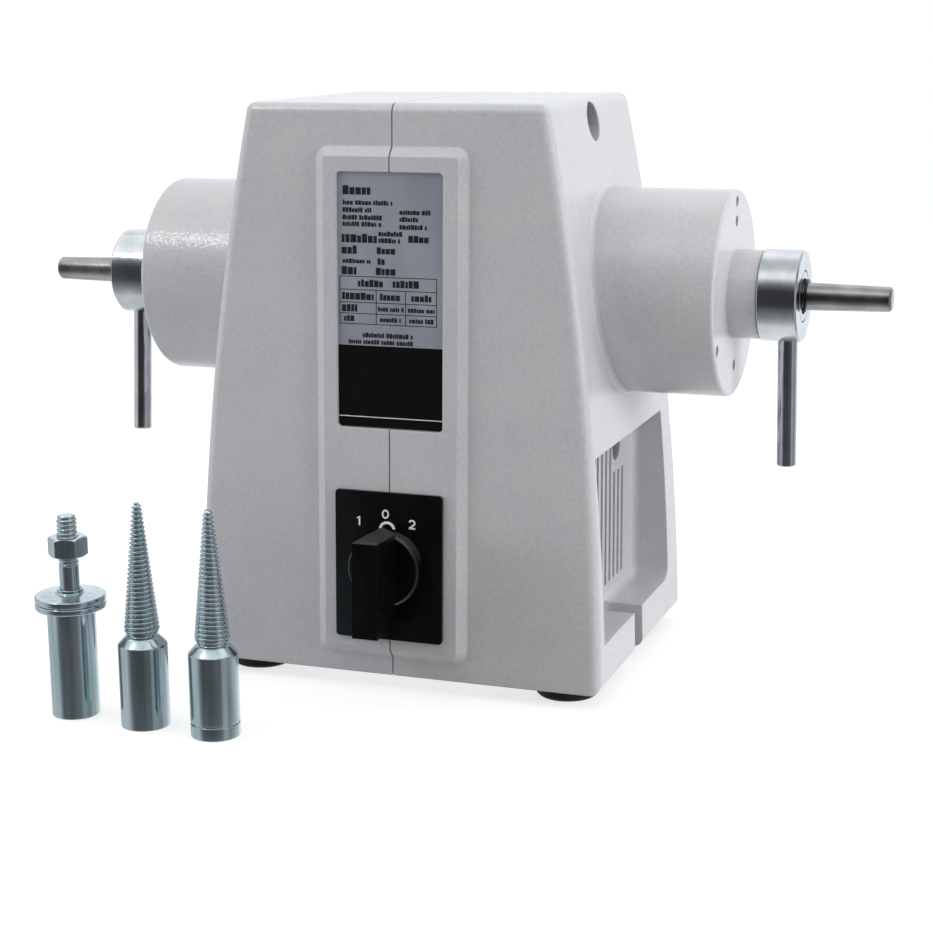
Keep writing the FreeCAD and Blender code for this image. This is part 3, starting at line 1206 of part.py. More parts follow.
def chucks():
    body = along_z("wheel_arbor", taper_bore() + [
        ("arbor_radius - chuck_edge", "0"), ("arbor_radius", "chuck_edge"),
        ("arbor_radius", "arbor_tall"), ("flange_radius - 0.4", "arbor_tall"),
        ("flange_radius", "arbor_tall + 0.4"), ("flange_radius", "arbor_flange - 0.4"),
        ("flange_radius - 0.4", "arbor_flange"), ("stem", "arbor_flange"), ("stem", "stem_end"),
        ("stud", "stem_end + 0.4"), ("stud", "stud_end - 0.8"), ("stud - 0.8", "stud_end"),
        ("0", "stud_end")])
    keep("wheel_arbor", put(body, "arbor_x", "arbor_y"))

    low = "arbor_flange + fit_gap"
    loose = along_z("arbor_flange_loose", [
        ("stud + fit_gap", low), ("flange_radius - 0.4", low), ("flange_radius", f"{low} + 0.4"),
        ("flange_radius", f"{low} + flange_thick - 0.4"),
        ("flange_radius - 0.4", f"{low} + flange_thick"),
        ("flange_radius - 1.5", f"{low} + flange_thick"),
        ("flange_hub", f"{low} + flange_thick + flange_dish"),
        ("flange_hub", f"{low} + flange_thick + flange_dish + flange_hub_tall"),
        ("stud + fit_gap", f"{low} + flange_thick + flange_dish + flange_hub_tall")])
    keep("arbor_flange_loose", put(loose, "arbor_x", "arbor_y"))

    nut = new_body("arbor_nut")
    faces = outline(sketch_on(nut, "XY_Plane"), hexagon("nut_half"))
    pad(nut, faces, "nut_tall")
    bore = circle(sketch_on(nut, "XY_Plane"), "0", "0", "stud + thread_clear")
    pocket(nut, bore, "nut_tall", reverse=True)
    top = sketch_on(nut, "XZ_Plane")
    for level, inwards in (("0", "1.2"), ("nut_tall", "nut_tall - 1.2")):
        outline(top, [("nut_half - 0.2", level), ("nut_half * 1.5", level),
                      ("nut_half * 1.5", f"({level}) + (({inwards}) - ({level})) * 2.4")])
    groove = nut.newObject("PartDesign::Groove", "arbor_nut_groove")
    groove.Profile = top
    groove.ReferenceAxis = (top, ["V_Axis"])
    groove.Angle = 360
    tip_over(nut, V(0, 0, 1), "-nut_turn")
    keep("arbor_nut", put(nut, "arbor_x", "arbor_y", "nut_low"))

    for name, side, marked in (("taper_chuck_right_hand", "right_chuck", False),
                               ("taper_chuck_left_hand", "left_chuck", True)):
        wall = [("chuck_radius", "chuck_edge")]
        if marked:
            wall += [("chuck_radius", "mark_low"), ("chuck_radius - mark_depth", "mark_low"),
                     ("chuck_radius - mark_depth", "mark_low + mark_tall"),
                     ("chuck_radius", "mark_low + mark_tall")]
        body = along_z(name, taper_bore() + [("chuck_radius - chuck_edge", "0")] + wall + [
            ("chuck_radius", "taper_body"), ("shoulder_radius", "taper_shoulder"),
            ("thread_neck", "taper_shoulder"), ("thread_neck", "thread_low"),
            ("thread_base", "thread_low + 1"), ("thread_tip", "thread_high"), ("0", "thread_high")])
        keep(name, put(body, f"{side}_x", f"{side}_y"))


# ---------------------------------------------------------------- build, check, write

def check_and_write():
    """Stop on any failed object or bad shape, then write one STEP file for each sub-part."""
    doc.recompute()
    for thing in doc.Objects:
        if {"Invalid", "Error"} & set(thing.State):
            raise RuntimeError(f"{thing.Name} failed: {thing.State}")
    os.makedirs("parts", exist_ok=True)
    for part in PARTS:
        shape = part.Shape
        if shape.isNull() or not shape.isValid():
            raise RuntimeError(f"{part.Label} has no valid shape")
        print(f"{part.Label}: {len(shape.Solids)} solids, {shape.Volume / 1000:.2f} cm3")
    for part in PARTS:
        part.Shape.exportStep(f"parts/{part.Label}.step")


casing()
casing_screws()
base()
front_parts()
motor()
bearings()
ejectors()
electrics()
chucks()
check_and_write()
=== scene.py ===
"""Looks of a double-ended bench polishing lathe and its three chucks: finishes, turned and threaded
pieces, printed plates, bench, lamps and camera. Sizes are in millimetres until a mesh is made.
"""
import json
import math
import random

import bmesh
import bpy
from mathutils import Matrix, Vector


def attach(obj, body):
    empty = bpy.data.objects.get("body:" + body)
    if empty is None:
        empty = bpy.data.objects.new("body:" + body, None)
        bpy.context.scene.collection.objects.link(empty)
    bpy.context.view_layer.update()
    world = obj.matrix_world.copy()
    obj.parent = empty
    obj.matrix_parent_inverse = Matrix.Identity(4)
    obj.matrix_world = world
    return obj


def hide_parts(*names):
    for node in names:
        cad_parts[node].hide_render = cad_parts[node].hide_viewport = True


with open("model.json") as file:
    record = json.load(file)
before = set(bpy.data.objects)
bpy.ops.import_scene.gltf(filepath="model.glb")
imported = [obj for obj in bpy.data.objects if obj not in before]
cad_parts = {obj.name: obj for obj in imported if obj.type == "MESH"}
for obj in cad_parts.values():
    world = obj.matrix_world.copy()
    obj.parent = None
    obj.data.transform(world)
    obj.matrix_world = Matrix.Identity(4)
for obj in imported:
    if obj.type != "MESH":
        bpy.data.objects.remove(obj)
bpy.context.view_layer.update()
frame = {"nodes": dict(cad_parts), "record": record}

MM = 0.001
letter_luck = random.Random(7)


# ---------------------------------------------------------------- sizes shared with the solids, mm

AXIS_HEIGHT = 180.5
HUB_RADIUS = 47.2
# The casing's sides are arcs, widest at the height SIDE_APEX.
HALF_WIDTH, SIDE_RADIUS, SIDE_APEX = 99.2, 1430, -13
# The front leans back from the foot of the casing.
FRONT_FOOT, FRONT_LEAN, CASING_FOOT = -78.5, math.radians(2.17474), 7.6
# How far the faces of the two plates stand out from the front.
NAME_PLATE_FACE = 2.2
SWITCH_PLATE_FACE = 5.4
# Where the loose pieces stand on the bench.
ARBOR = (-124.9, -151)
RIGHT_HAND_CHUCK = (-88, -154)
LEFT_HAND_CHUCK = (-52.7, -155.8)
# The taper bore that each of them has for the shaft.
BORE_DEPTH, BORE_MOUTH, BORE_TOP = 36, 6.35, 5.7


# ---------------------------------------------------------------- colours and nodes

BEVEL_SAMPLES = 6
# Pale dust colour, which on the black plastic also serves as a painted sheen of the light from
# above.
DUST_AND_SHEEN_COLOUR = "#B9B8B4"
# How much a surface faces up where the pale dust and painted sheen start to lie, and where all of
# it lies.
DUST_AND_SHEEN_STARTS, DUST_AND_SHEEN_FULL = 0.2, 0.8


def linear(hex_colour):
    """An sRGB hex colour as linear RGBA."""
    parts = [int(hex_colour[i:i + 2], 16) / 255 for i in (1, 3, 5)]
    return [p / 12.92 if p <= 0.04045 else ((p + 0.055) / 1.055) ** 2.4 for p in parts] + [1.0]


def emptied(owner):
    """The node tree of a material or a world, with nothing in it yet."""
    owner.use_nodes = True
    owner.node_tree.nodes.clear()
    return owner.node_tree


def add(tree, kind, inputs=None, ramp=(), **settings):
    """Add a node: settings are its own attributes, inputs join or set its sockets by name or
    number, and ramp lists its colour stops as (position, linear colour)."""
    node = tree.nodes.new("ShaderNode" + kind)
    for name, setting in settings.items():
        setattr(node, name, setting)
    for name, source in (inputs or {}).items():
        if isinstance(source, bpy.types.NodeSocket):
            tree.links.new(source, node.inputs[name])
        else:
            node.inputs[name].default_value = source
    for i, (position, colour) in enumerate(ramp):
        stops = node.color_ramp.elements
        stop = stops[i] if i < len(stops) else stops.new(position)
        stop.position, stop.color = position, colour
    return node


def finish(name, drift, tooth, depth, colours, rough, reach=(0.3, 0.7), edge=0.3, dust_and_sheen=0.0,
           **sockets):
    """A finish that drifts between two colours and two roughnesses over blotches of drift mm
    along X, Y and Z, with a relief of depth mm in marks of tooth mm. reach is how much of the
    drift's noise the change takes up, edge is how soft its corners look, in mm, and
    dust_and_sheen is how much pale colour lies where the surface faces up: dust, and on the
    black plastic also a painted sheen that stands for the light from above."""
    material = bpy.data.materials.new(name)
    tree = emptied(material)
    place = add(tree, "TexCoord")
    noises = []
    for size in (drift, tooth):
        scaled = add(tree, "Mapping", {"Vector": place.outputs["Object"],
                                       "Scale": [1 / (s * MM) for s in size]})
        noises.append(add(tree, "TexNoise", {"Vector": scaled.outputs[0], "Scale": 1.0,
                                             "Detail": 2.0}).outputs["Fac"])
    blotch, mark = noises
    shades = [(at, linear(shade)) for at, shade in zip(reach, colours)]
    colour = add(tree, "ValToRGB", {"Fac": blotch}, shades).outputs["Color"]
    # Surfaces that face up turn pale: dust, and on the black plastic also a painted sheen of the
    # light from above.
    if dust_and_sheen:
        up = add(tree, "SeparateXYZ", {0: place.outputs["Normal"]}).outputs["Z"]
        upward_dust_and_sheen = add(tree, "MapRange", {"Value": up, "From Min": DUST_AND_SHEEN_STARTS,
                                         "From Max": DUST_AND_SHEEN_FULL, "To Max": dust_and_sheen})
        speckled_dust_and_sheen = add(tree, "Math", {0: upward_dust_and_sheen.outputs[0], 1: mark}, operation="MULTIPLY")
        colour = add(tree, "MixRGB", {"Fac": speckled_dust_and_sheen.outputs[0], 1: colour,
                                      2: linear(DUST_AND_SHEEN_COLOUR)}).outputs[0]
    gloss = add(tree, "MapRange", {"Value": blotch, "From Min": reach[0], "From Max": reach[1],
                                   "To Min": rough[0], "To Max": rough[1]}).outputs["Result"]
    round_edge = add(tree, "Bevel", {"Radius": edge * MM}, samples=BEVEL_SAMPLES)
    relief = add(tree, "Bump", {"Height": mark, "Distance": depth * MM,
                                "Normal": round_edge.outputs["Normal"]})
    shader = add(tree, "BsdfPrincipled", {
        "Base Color": colour, "Roughness": gloss, "Normal": relief.outputs["Normal"],
        **{socket.replace("_", " "): value for socket, value in sockets.items()}})
    add(tree, "OutputMaterial", {"Surface": shader.outputs["BSDF"]})
    return material


# ---------------------------------------------------------------- finishes

def hammered_enamel():
    """Hammer-finish enamel on cast aluminium: the pigment draws into shallow cells about 1.6 mm
    wide as it dries, so the eye sees an even silver grey that turns to fine glinting pebble where
    light grazes it."""
    cell, ripple, sway, flake, cloud = 1.6, 4.5, 0.9, 0.55, 34
    cast_edge, relief_depth, lacquer_depth = 1.1, 0.07, 0.105
    # Shares of the flakes in the relief and in the tone, and of the clouds in the tone.
    flake_relief, flake_tone, cloud_tone = 0.18, 0.10, 0.12
    material = bpy.data.materials.new("hammered_enamel")
    tree = emptied(material)
    place = add(tree, "TexCoord").outputs["Object"]
    ripples = add(tree, "TexNoise", {"Vector": place, "Scale": 1 / (ripple * MM), "Detail": 1.0})
    bent = add(tree, "VectorMath", {0: ripples.outputs["Color"], "Scale": sway * MM},
               operation="SCALE")
    moved = add(tree, "VectorMath", {0: place, 1: bent.outputs[0]}, operation="ADD")
    cells = add(tree, "TexVoronoi", {"Vector": moved.outputs[0], "Scale": 1 / (cell * MM),
                                     "Smoothness": 0.7}, feature="SMOOTH_F1").outputs["Distance"]
    specks, clouds = [
        add(tree, "TexNoise", {"Vector": place, "Scale": 1 / (size * MM),
                               "Detail": detail}).outputs["Fac"]
        for size, detail in ((flake, 1.0), (cloud, 2.0))]
    pebble, speck, cloudy = [
        add(tree, "ValToRGB", {"Fac": pattern}, [(low, linear(first)), (high, linear(last))])
        for pattern, low, first, high, last in ((cells, 0.15, "#CACACD", 0.75, "#C1C1C5"),
                                                (specks, 0.35, "#A4A5A9", 0.68, "#E6E6E8"),
                                                (clouds, 0.3, "#B2B3B7", 0.7, "#DBDBDC"))]
    tone = add(tree, "MixRGB", {"Fac": flake_tone, 1: pebble.outputs[0], 2: speck.outputs[0]})
    tone = add(tree, "MixRGB", {"Fac": cloud_tone, 1: tone.outputs[0], 2: cloudy.outputs[0]})
    gloss = add(tree, "MapRange", {"Value": specks, "From Min": 0.3, "From Max": 0.7,
                                   "To Min": 0.36, "To Max": 0.50}).outputs["Result"]
    height = add(tree, "Math", {0: cells, 1: -1.0}, operation="MULTIPLY").outputs[0]
    height = add(tree, "Math", {0: specks, 1: flake_relief, 2: height},
                 operation="MULTIPLY_ADD").outputs[0]
    edge = add(tree, "Bevel", {"Radius": cast_edge * MM}, samples=BEVEL_SAMPLES).outputs["Normal"]
    relief, lacquer = [
        add(tree, "Bump", {"Height": height, "Distance": depth * MM,
                           "Normal": edge}).outputs["Normal"]
        for depth in (relief_depth, lacquer_depth)]
    shader = add(tree, "BsdfPrincipled", {
        "Base Color": tone.outputs[0], "Roughness": gloss, "Normal": relief, "Metallic": 0.12,
        "Coat Weight": 0.7, "Coat Roughness": 0.14, "Coat Normal": lacquer})
    add(tree, "OutputMaterial", {"Surface": shader.outputs["BSDF"]})
    return material


ENAMEL = hammered_enamel()

# Bright zinc plate on turned steel: a clear silver that shifts between a green and a lilac tint.
# Its turning rings are drawn 0.5 mm apart, coarser than the real 0.1 mm feed, so that they show.
ZINC_ON_COLLAR = finish("bright_zinc_collar", (9, 9, 14), (0.5, 30, 30), 0.012,
                        ("#C0CCCE", "#DEDDE6"), (0.12, 0.20), edge=0.25, Metallic=1.0)
# The chucks' zinc is duller and greener, with faint streaks along the drawn bar.
ZINC_ON_CHUCK = finish("bright_zinc_chuck", (2.6, 2.6, 45), (30, 30, 0.5), 0.012,
                       ("#A4C1C2", "#CED5E1"), (0.14, 0.20), edge=0.25, Metallic=0.92)
# Screen-printed ink: flat colour that thins by a shade from place to place.
INK_BLACK = finish("black_ink", (1.5, 1.5, 1.5), (1.5, 1.5, 1.5), 0.004,
                   ("#060607", "#0B0A0C"), (0.40, 0.50), Specular_IOR_Level=0.25)
INK_GREY = finish("grey_ink", (1.5, 1.5, 1.5), (1.5, 1.5, 1.5), 0.004,
                  ("#131317", "#232329"), (0.40, 0.50))
# White paint filled into a mark or printed on a dial: flat and slightly worn.
WHITE_FILL = finish("white_fill", (0.6, 0.6, 0.6), (0.6, 0.6, 0.6), 0.01,
                    ("#C9C9C7", "#F4F4F2"), (0.5, 0.6), reach=(0.25, 0.6))
FINISH = {
    "casing_paint": ENAMEL,
    "zinc": ZINC_ON_COLLAR,
    # Decorative chrome on rod: almost a mirror, with a trace of haze from handling.
    "chrome": finish("polished_chrome", (5, 5, 9), (5, 5, 9), 0.01,
                     ("#C9CED3", "#DDE0E3"), (0.05, 0.13), Metallic=1.0),
    # Bare steel ground on centres: neutral grey, with fine rings and a film of old oil.
    "ground_steel": finish("ground_steel", (14, 9, 9), (0.45, 30, 30), 0.014,
                           ("#8B898A", "#B6B4B5"), (0.18, 0.32), Metallic=1.0),
    # Screws blackened in oil: near black steel, its heads lighter where a key has rubbed.
    "steel_screw": finish("blackened_steel", (1.2, 1.2, 1.2), (1.2, 1.2, 1.2), 0.02,
                          ("#232427", "#4A4B4F"), (0.30, 0.48), reach=(0.35, 0.75),
                          Metallic=0.85),
    # Injection-moulded black ABS: deep black and satin, with a faint spark-eroded grain, and on
    # what faces up polishing dust together with a painted sheen of the light from above.
    "black_plastic": finish("black_abs", (16, 16, 30), (0.8, 0.8, 0.8), 0.008,
                            ("#040405", "#080809"), (0.22, 0.30), edge=0.2, dust_and_sheen=0.15,
                            Specular_IOR_Level=0.5),
    "white_mark": WHITE_FILL,
    # Satin aluminium foil of a rating plate: an even silver grey, brushed hair-fine across.
    "plate_foil": finish("satin_foil", (20, 20, 40), (22, 22, 0.5), 0.006,
                         ("#9DA1AC", "#A9ADB7"), (0.34, 0.46), edge=0.2, Metallic=0.35),
    # Moulded black rubber: matt charcoal with a dusty bloom.
    "black_rubber": finish("moulded_rubber", (3, 3, 3), (0.7, 0.7, 0.7), 0.03,
                           ("#161616", "#2A2A2B"), (0.62, 0.8), edge=0.6, dust_and_sheen=0.2),
    # A stack of 0.5 mm electrical sheet: blue-grey steel with one fine line per sheet.
    "lamination": finish("electrical_sheet", (0.5, 60, 60), (0.5, 60, 60), 0.05,
                         ("#4C5058", "#7B8088"), (0.38, 0.55), Metallic=0.9),
    # Enamelled copper wire under varnish: glossy reddish amber turns of 0.8 mm wire.
    "copper": finish("varnished_winding", (0.8, 9, 9), (0.8, 9, 9), 0.2,
                     ("#7A3414", "#C4692F"), (0.22, 0.4), Metallic=0.7, Coat_Weight=0.5),
    # Die-cast aluminium: pale grey metal with a soft, slightly pitted skin.
    "cage_metal": finish("cast_aluminium", (1.6, 1.6, 1.6), (1.6, 1.6, 1.6), 0.04,
                         ("#A3A5A8", "#C2C4C6"), (0.34, 0.52), Metallic=0.95),
    # Hardened and lapped bearing steel: cool bright grey with hair-fine lapping marks.
    "bearing_steel": finish("bearing_steel", (0.6, 6, 6), (0.6, 6, 6), 0.006,
                            ("#B9BCC0", "#D0D2D5"), (0.10, 0.22), Metallic=1.0),
    # Glass-filled nylon: even grey with a faint mottle and a fine tooth.
    "grey_plastic": finish("grey_nylon", (4, 4, 4), (0.6, 0.6, 0.6), 0.02,
                           ("#3A3B3D", "#4B4C4E"), (0.42, 0.58)),
    # Urea moulding: warm white, slightly glossy.
    "pale_plastic": finish("pale_urea", (4, 4, 4), (0.6, 0.6, 0.6), 0.02,
                           ("#CBC8BB", "#DAD7CC"), (0.42, 0.58)),
}
for entry in frame["record"]["subparts"]:
    solid = frame["nodes"][entry["node"]]
    for holder in solid.material_slots:
        holder.material = FINISH[entry["material_slot"]]


# ---------------------------------------------------------------- mesh tools

# Points closer than the first are one, and an edge shorter than the second is none, in metres.
SAME_POINT, NO_EDGE = 1e-6, 1e-7


def piece(name, verts, faces, material, body, slot, replaced=None, spot=(0, 0), crisp=34,
          weld=False):
    """A mesh piece of the lathe from points in millimetres, stood at a spot of the bench. Edges
    sharper than crisp degrees stay sharp, and weld makes parts that share a rim one."""
    mesh = bpy.data.meshes.new(name)
    points = [((x + spot[0]) * MM, (y + spot[1]) * MM, z * MM) for x, y, z in verts]
    mesh.from_pydata(points, [], faces)
    form = bmesh.new()
    form.from_mesh(mesh)
    if weld:
        bmesh.ops.remove_doubles(form, verts=form.verts, dist=SAME_POINT)
        bmesh.ops.holes_fill(form, edges=[e for e in form.edges if e.is_boundary], sides=0)
    bmesh.ops.dissolve_degenerate(form, edges=form.edges, dist=NO_EDGE)
    bmesh.ops.recalc_face_normals(form, faces=form.faces)
    form.to_mesh(mesh)
    form.free()
    mesh.shade_smooth()
    mesh.set_sharp_from_angle(angle=math.radians(crisp))
    mesh.materials.append(material)
    thing = bpy.data.objects.new(name, mesh)
    bpy.context.scene.collection.objects.link(thing)
    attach(thing, body)
    if replaced:
        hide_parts(replaced)


def softened(corners, steps=5):
    """A profile whose corners, each (radius, height, rounding), are rounded off. A rounding takes
    at most a share of the sides that meet at its corner."""
    most_of_side = 0.45
    points = []
    for i, (r, z, rounding) in enumerate(corners):
        here = Vector((r, z))
        if not rounding or i in (0, len(corners) - 1):
            points.append((r, z))
            continue
        back = Vector(corners[i - 1][:2]) - here
        on = Vector(corners[i + 1][:2]) - here
        reach = min(rounding, most_of_side * back.length, most_of_side * on.length)
        start, end = here + back.normalized() * reach, here + on.normalized() * reach
        for step in range(steps + 1):
            t = step / steps
            spot = start * (1 - t) ** 2 + here * (2 * t * (1 - t)) + end * t ** 2
            points.append((spot.x, spot.y))
    return points


def turned(profile, segments=96, loop=False):
    """Points and faces of a profile of (radius, height) turned about Z. A loop is closed."""
    on_axis = 1e-6
    verts, rings, faces = [], [], []
    for radius, height in profile:
        count = 1 if radius < on_axis else segments
        rings.append([len(verts) + k for k in range(count)])
        angles = [math.tau * k / segments for k in range(count)]
        verts += [(radius * math.cos(a), radius * math.sin(a), height) for a in angles]
    pairs = list(zip(rings, rings[1:]))
    if loop:
        pairs.append((rings[-1], rings[0]))
    for low, high in pairs:
        for k in range(segments):
            n = (k + 1) % segments
            if len(low) == 1:
                faces.append((low[0], high[n], high[k]))
            elif len(high) == 1:
                faces.append((low[k], low[n], high[0]))
            else:
                faces.append((low[k], low[n], high[n], high[k]))
    return verts, faces


def thread(low, high, crest_low, crest_high, depth, pitch, hand, segments=56, rows=10):
    """A thread with flattened crests and roots on a cone or cylinder, fading out at both ends.
    hand is 1 for a right-hand thread and -1 for a left-hand one."""
    # Shares of the pitch that the crest and the two flanks take, and turns that it fades over.
    crest, flanks, runout = 0.32, 0.46, 0.8
    count = int(math.ceil(((high - low) / pitch + 2) * rows))
    verts, faces = [], []
    for j in range(count + 1):
        wave = 1 - abs(2 * (j % rows) / rows - 1)
        groove = min(max((wave - crest) / flanks, 0), 1)
        for k in range(segments):
            z = min(max(low + pitch * (j / rows + k / segments - 1), low), high)
            share = (z - low) / (high - low)
            fade = min(1, (z - low) / (runout * pitch), (high - z) / (runout * pitch))
            root = crest_low + (crest_high - crest_low) * share - depth
            radius = root + depth * (1 - groove) * fade
            angle = hand * math.tau * k / segments
            verts.append((radius * math.cos(angle), radius * math.sin(angle), z))
    for j in range(count):
        for k in range(segments):
            beside = (j, k + 1) if k + 1 < segments else (j + rows, 0)
            if beside[0] + 1 > count:
                continue
            corners = [(j, k), beside, (beside[0] + 1, beside[1]), (j + 1, k)]
            faces.append([row * segments + column for row, column in corners])
    return verts, faces


def joined(*parts):
    """Several (points, faces) as one."""
    verts, faces = [], []
    for some_verts, some_faces in parts:
        faces += [[i + len(verts) for i in face] for face in some_faces]
        verts += some_verts
    return verts, faces


# ---------------------------------------------------------------- chucks and wheel arbor

def taper_chuck(name, node, body, spot, hand):
    """A taper chuck: plated body with a taper bore, sloping shoulder, and a tapered thread for
    buffs. A ring groove near the foot marks the left-hand one."""
    radius, groove = 10.9, 10.4
    wall = [(radius, 0, 0.6)]
    if hand < 0:
        wall += [(radius, 5.8, 0.2), (groove, 6.0, 0.2), (groove, 6.8, 0.2), (radius, 7.0, 0.2)]
    body_profile = softened([
        (0, BORE_DEPTH, 0), (BORE_TOP, BORE_DEPTH, 0), (BORE_MOUTH, 0, 0.5)] + wall + [
        (radius, 37.3, 0.7), (7.6, 40.9, 1.0), (6.3, 41.6, 0.6), (6.3, 44, 0), (0, 44, 0)])
    screw = thread(low=42.6, high=101, crest_low=8.03, crest_high=2.0, depth=0.95, pitch=1.97,
                   hand=hand)
    piece(name, *joined(turned(body_profile), screw), ZINC_ON_CHUCK, body, "zinc", node, spot,
          weld=True)


taper_chuck("taper_chuck_threaded_right", "taper_chuck_right_hand", "right_hand_chuck",
            RIGHT_HAND_CHUCK, 1)
taper_chuck("taper_chuck_threaded_left", "taper_chuck_left_hand", "left_hand_chuck",
            LEFT_HAND_CHUCK, -1)

arbor_profile = softened([
    (0, BORE_DEPTH, 0), (BORE_TOP, BORE_DEPTH, 0), (BORE_MOUTH, 0, 0.5), (10.7, 0, 0.8),
    (10.7, 49.2, 0.5), (11.2, 49.6, 0.2), (15.8, 49.7, 0.9), (15.8, 52.6, 0.9), (4.9, 52.6, 0.3),
    (4.4, 53.2, 0.3), (4.4, 69.2, 0.3), (3.9, 69.6, 0), (3.9, 91.2, 0), (3.3, 92, 0.2),
    (0, 92, 0)])
stud = thread(low=68.6, high=91.6, crest_low=4.5, crest_high=4.5, depth=0.62, pitch=1.95, hand=1,
              segments=48)
piece("wheel_arbor_threaded", *joined(turned(arbor_profile), stud), ZINC_ON_CHUCK, "arbor",
      "zinc", "wheel_arbor", ARBOR, weld=True)

flange_profile = softened([
    (4.65, 52.75, 0), (15.8, 52.75, 0.8), (15.8, 55.75, 0.8), (14.1, 55.8, 0.6), (6.7, 56.6, 0.5),
    (5.8, 57.0, 0.4), (5.8, 58.45, 0.4), (4.65, 58.45, 0)])
piece("arbor_flange_dished", *turned(flange_profile, loop=True), ZINC_ON_CHUCK, "arbor_flange",
      "zinc", "arbor_flange_loose", ARBOR)


def hexagon_nut(low, high, half_flats, bore, turn, segments=96):
    """A hexagon nut with its corners chamfered at 30 degrees, so each flat is bounded by a
    curve, and its bore countersunk at both ends."""
    crown, chamfer, lip, sink = half_flats * 0.985, math.radians(30), 0.05, 0.5
    sixth = math.pi / 3
    verts, faces = [], []
    for k in range(segments):
        angle = math.tau * k / segments
        off_flat = (angle + sixth / 2) % sixth - sixth / 2
        reach = half_flats / math.cos(off_flat)
        fall = max(reach - crown, 0) * math.tan(chamfer) + lip
        c, s = math.cos(angle + turn), math.sin(angle + turn)
        section = ((bore + sink, low), (crown, low), (reach, low + fall), (reach, high - fall),
                   (crown, high), (bore + sink, high), (bore, high - sink), (bore, low + sink))
        verts += [(radius * c, radius * s, z) for radius, z in section]
        n, count = (k + 1) % segments, len(section)
        for i in range(count):
            j = (i + 1) % count
            faces.append((count * k + i, count * n + i, count * n + j, count * k + j))
    return verts, faces


piece("arbor_nut_chamfered",
      *hexagon_nut(low=73.6, high=82.4, half_flats=7.65, bore=4.55, turn=math.radians(-10)),
      ZINC_ON_CHUCK, "arbor_nut", "zinc", "arbor_nut", ARBOR, crisp=20)


# ---------------------------------------------------------------- fillets at the hubs' roots

def side_at(z):
    """How far the casing's long curved side is from the middle at a height."""
    return HALF_WIDTH - SIDE_RADIUS + math.sqrt(SIDE_RADIUS ** 2 - (z - SIDE_APEX) ** 2)


def hub_fillet(name, side, fillet=2.3, segments=160, steps=7, sunk=0.6):
    """The cast radius at a hub's root, which follows the curved side all the way round. Its back
    is sunk into the hub and the side."""
    section = [(fillet * (1 - math.cos(t)), fillet * (1 - math.sin(t)))
               for t in (math.pi / 2 * i / steps for i in range(steps + 1))]
    section += [(fillet, -sunk), (-sunk, -sunk), (-sunk, fillet)]
    verts, faces = [], []
    for k in range(segments):
        angle = math.tau * k / segments
        for out, off in section:
            radius = HUB_RADIUS + off
            y, z = radius * math.cos(angle), AXIS_HEIGHT + radius * math.sin(angle)
            verts.append((side * (side_at(z) + out), y, z))
        n, count = (k + 1) % segments, len(section)
        for i in range(count):
            j = (i + 1) % count
            faces.append((count * k + i, count * n + i, count * n + j, count * k + j))
    piece(name, verts, faces, ENAMEL, "casing", "casing_paint", crisp=50)


hub_fillet("hub_fillet_right", 1)
hub_fillet("hub_fillet_left", -1)


# ---------------------------------------------------------------- print on the plate and the dial

FILM = 0.04


def on_front(across, up, out):
    """A place on the leaning front: across, up the face from the bench, and proud of the face."""
    rise = up - CASING_FOOT
    return (across, FRONT_FOOT + rise * math.sin(FRONT_LEAN) - out * math.cos(FRONT_LEAN),
            CASING_FOOT + rise * math.cos(FRONT_LEAN) + out * math.sin(FRONT_LEAN))


def printed(name, outlines, face, material, slot):
    """Flat printed shapes, each an outline of (across, up), as a thin film on a face."""
    verts, faces = [], []
    for outline in outlines:
        start, count = len(verts), len(outline)
        for level in (face - FILM / 2, face + FILM):
            verts += [on_front(x, up, level) for x, up in outline]
        faces.append([start + i for i in range(count)])
        faces.append([start + count + i for i in reversed(range(count))])
        for i in range(count):
            n = (i + 1) % count
            faces.append((start + i, start + n, start + count + n, start + count + i))
    piece(name, verts, faces, material, "casing", slot)


def bar(low_x, high_x, low_up, high_up):
    """The outline of an upright rectangle."""
    return [(low_x, low_up), (high_x, low_up), (high_x, high_up), (low_x, high_up)]


def ribbon(points, width):
    """The outline of a stroke of even width along some points."""
    left, right = [], []
    for i, point in enumerate(points):
        here = Vector(point)
        before, after = Vector(points[max(i - 1, 0)]), Vector(points[min(i + 1, len(points) - 1)])
        along = (after - before).normalized()
        aside = Vector((-along.y, along.x)) * width / 2
        left.append(tuple(here + aside))
        right.append(tuple(here - aside))
    return left + right[::-1]


def arc(centre, across, tall, start, end, steps):
    """Points of an ellipse's arc, angles in degrees from the right, anticlockwise."""
    turns = [math.radians(start + (end - start) * i / steps) for i in range(steps + 1)]
    return [(centre[0] + across * math.cos(t), centre[1] + tall * math.sin(t)) for t in turns]


# Blocks that stand for print: how heavy they are, and the rest in heights of a line.
BLOCK_WEIGHT = 1.18
BLOCK_WIDTHS, BLOCK_HEIGHTS = (0.36, 0.74), (0.8, 0.8, 1.0, 1.0, 0.92)
BLOCK_GAP, WORD_GAP, LEAST_BLOCK = 0.10, 0.4, 0.3
BLOCKS_IN_WORD = (4, 8)


def blocked_words(low_x, high_x, middle, tall):
    """A line of plain blocks that stands for a line of print: no letters, only their rhythm."""
    tall *= BLOCK_WEIGHT
    foot = middle - tall / 2
    blocks, x, left_in_word = [], low_x, letter_luck.randint(*BLOCKS_IN_WORD)
    while x + tall * LEAST_BLOCK < high_x:
        end = min(x + tall * letter_luck.uniform(*BLOCK_WIDTHS), high_x)
        blocks.append(bar(x, end, foot, foot + tall * letter_luck.choice(BLOCK_HEIGHTS)))
        x = end + tall * BLOCK_GAP
        left_in_word -= 1
        if left_in_word == 0:
            x += tall * WORD_GAP
            left_in_word = letter_luck.randint(*BLOCKS_IN_WORD)
    return blocks


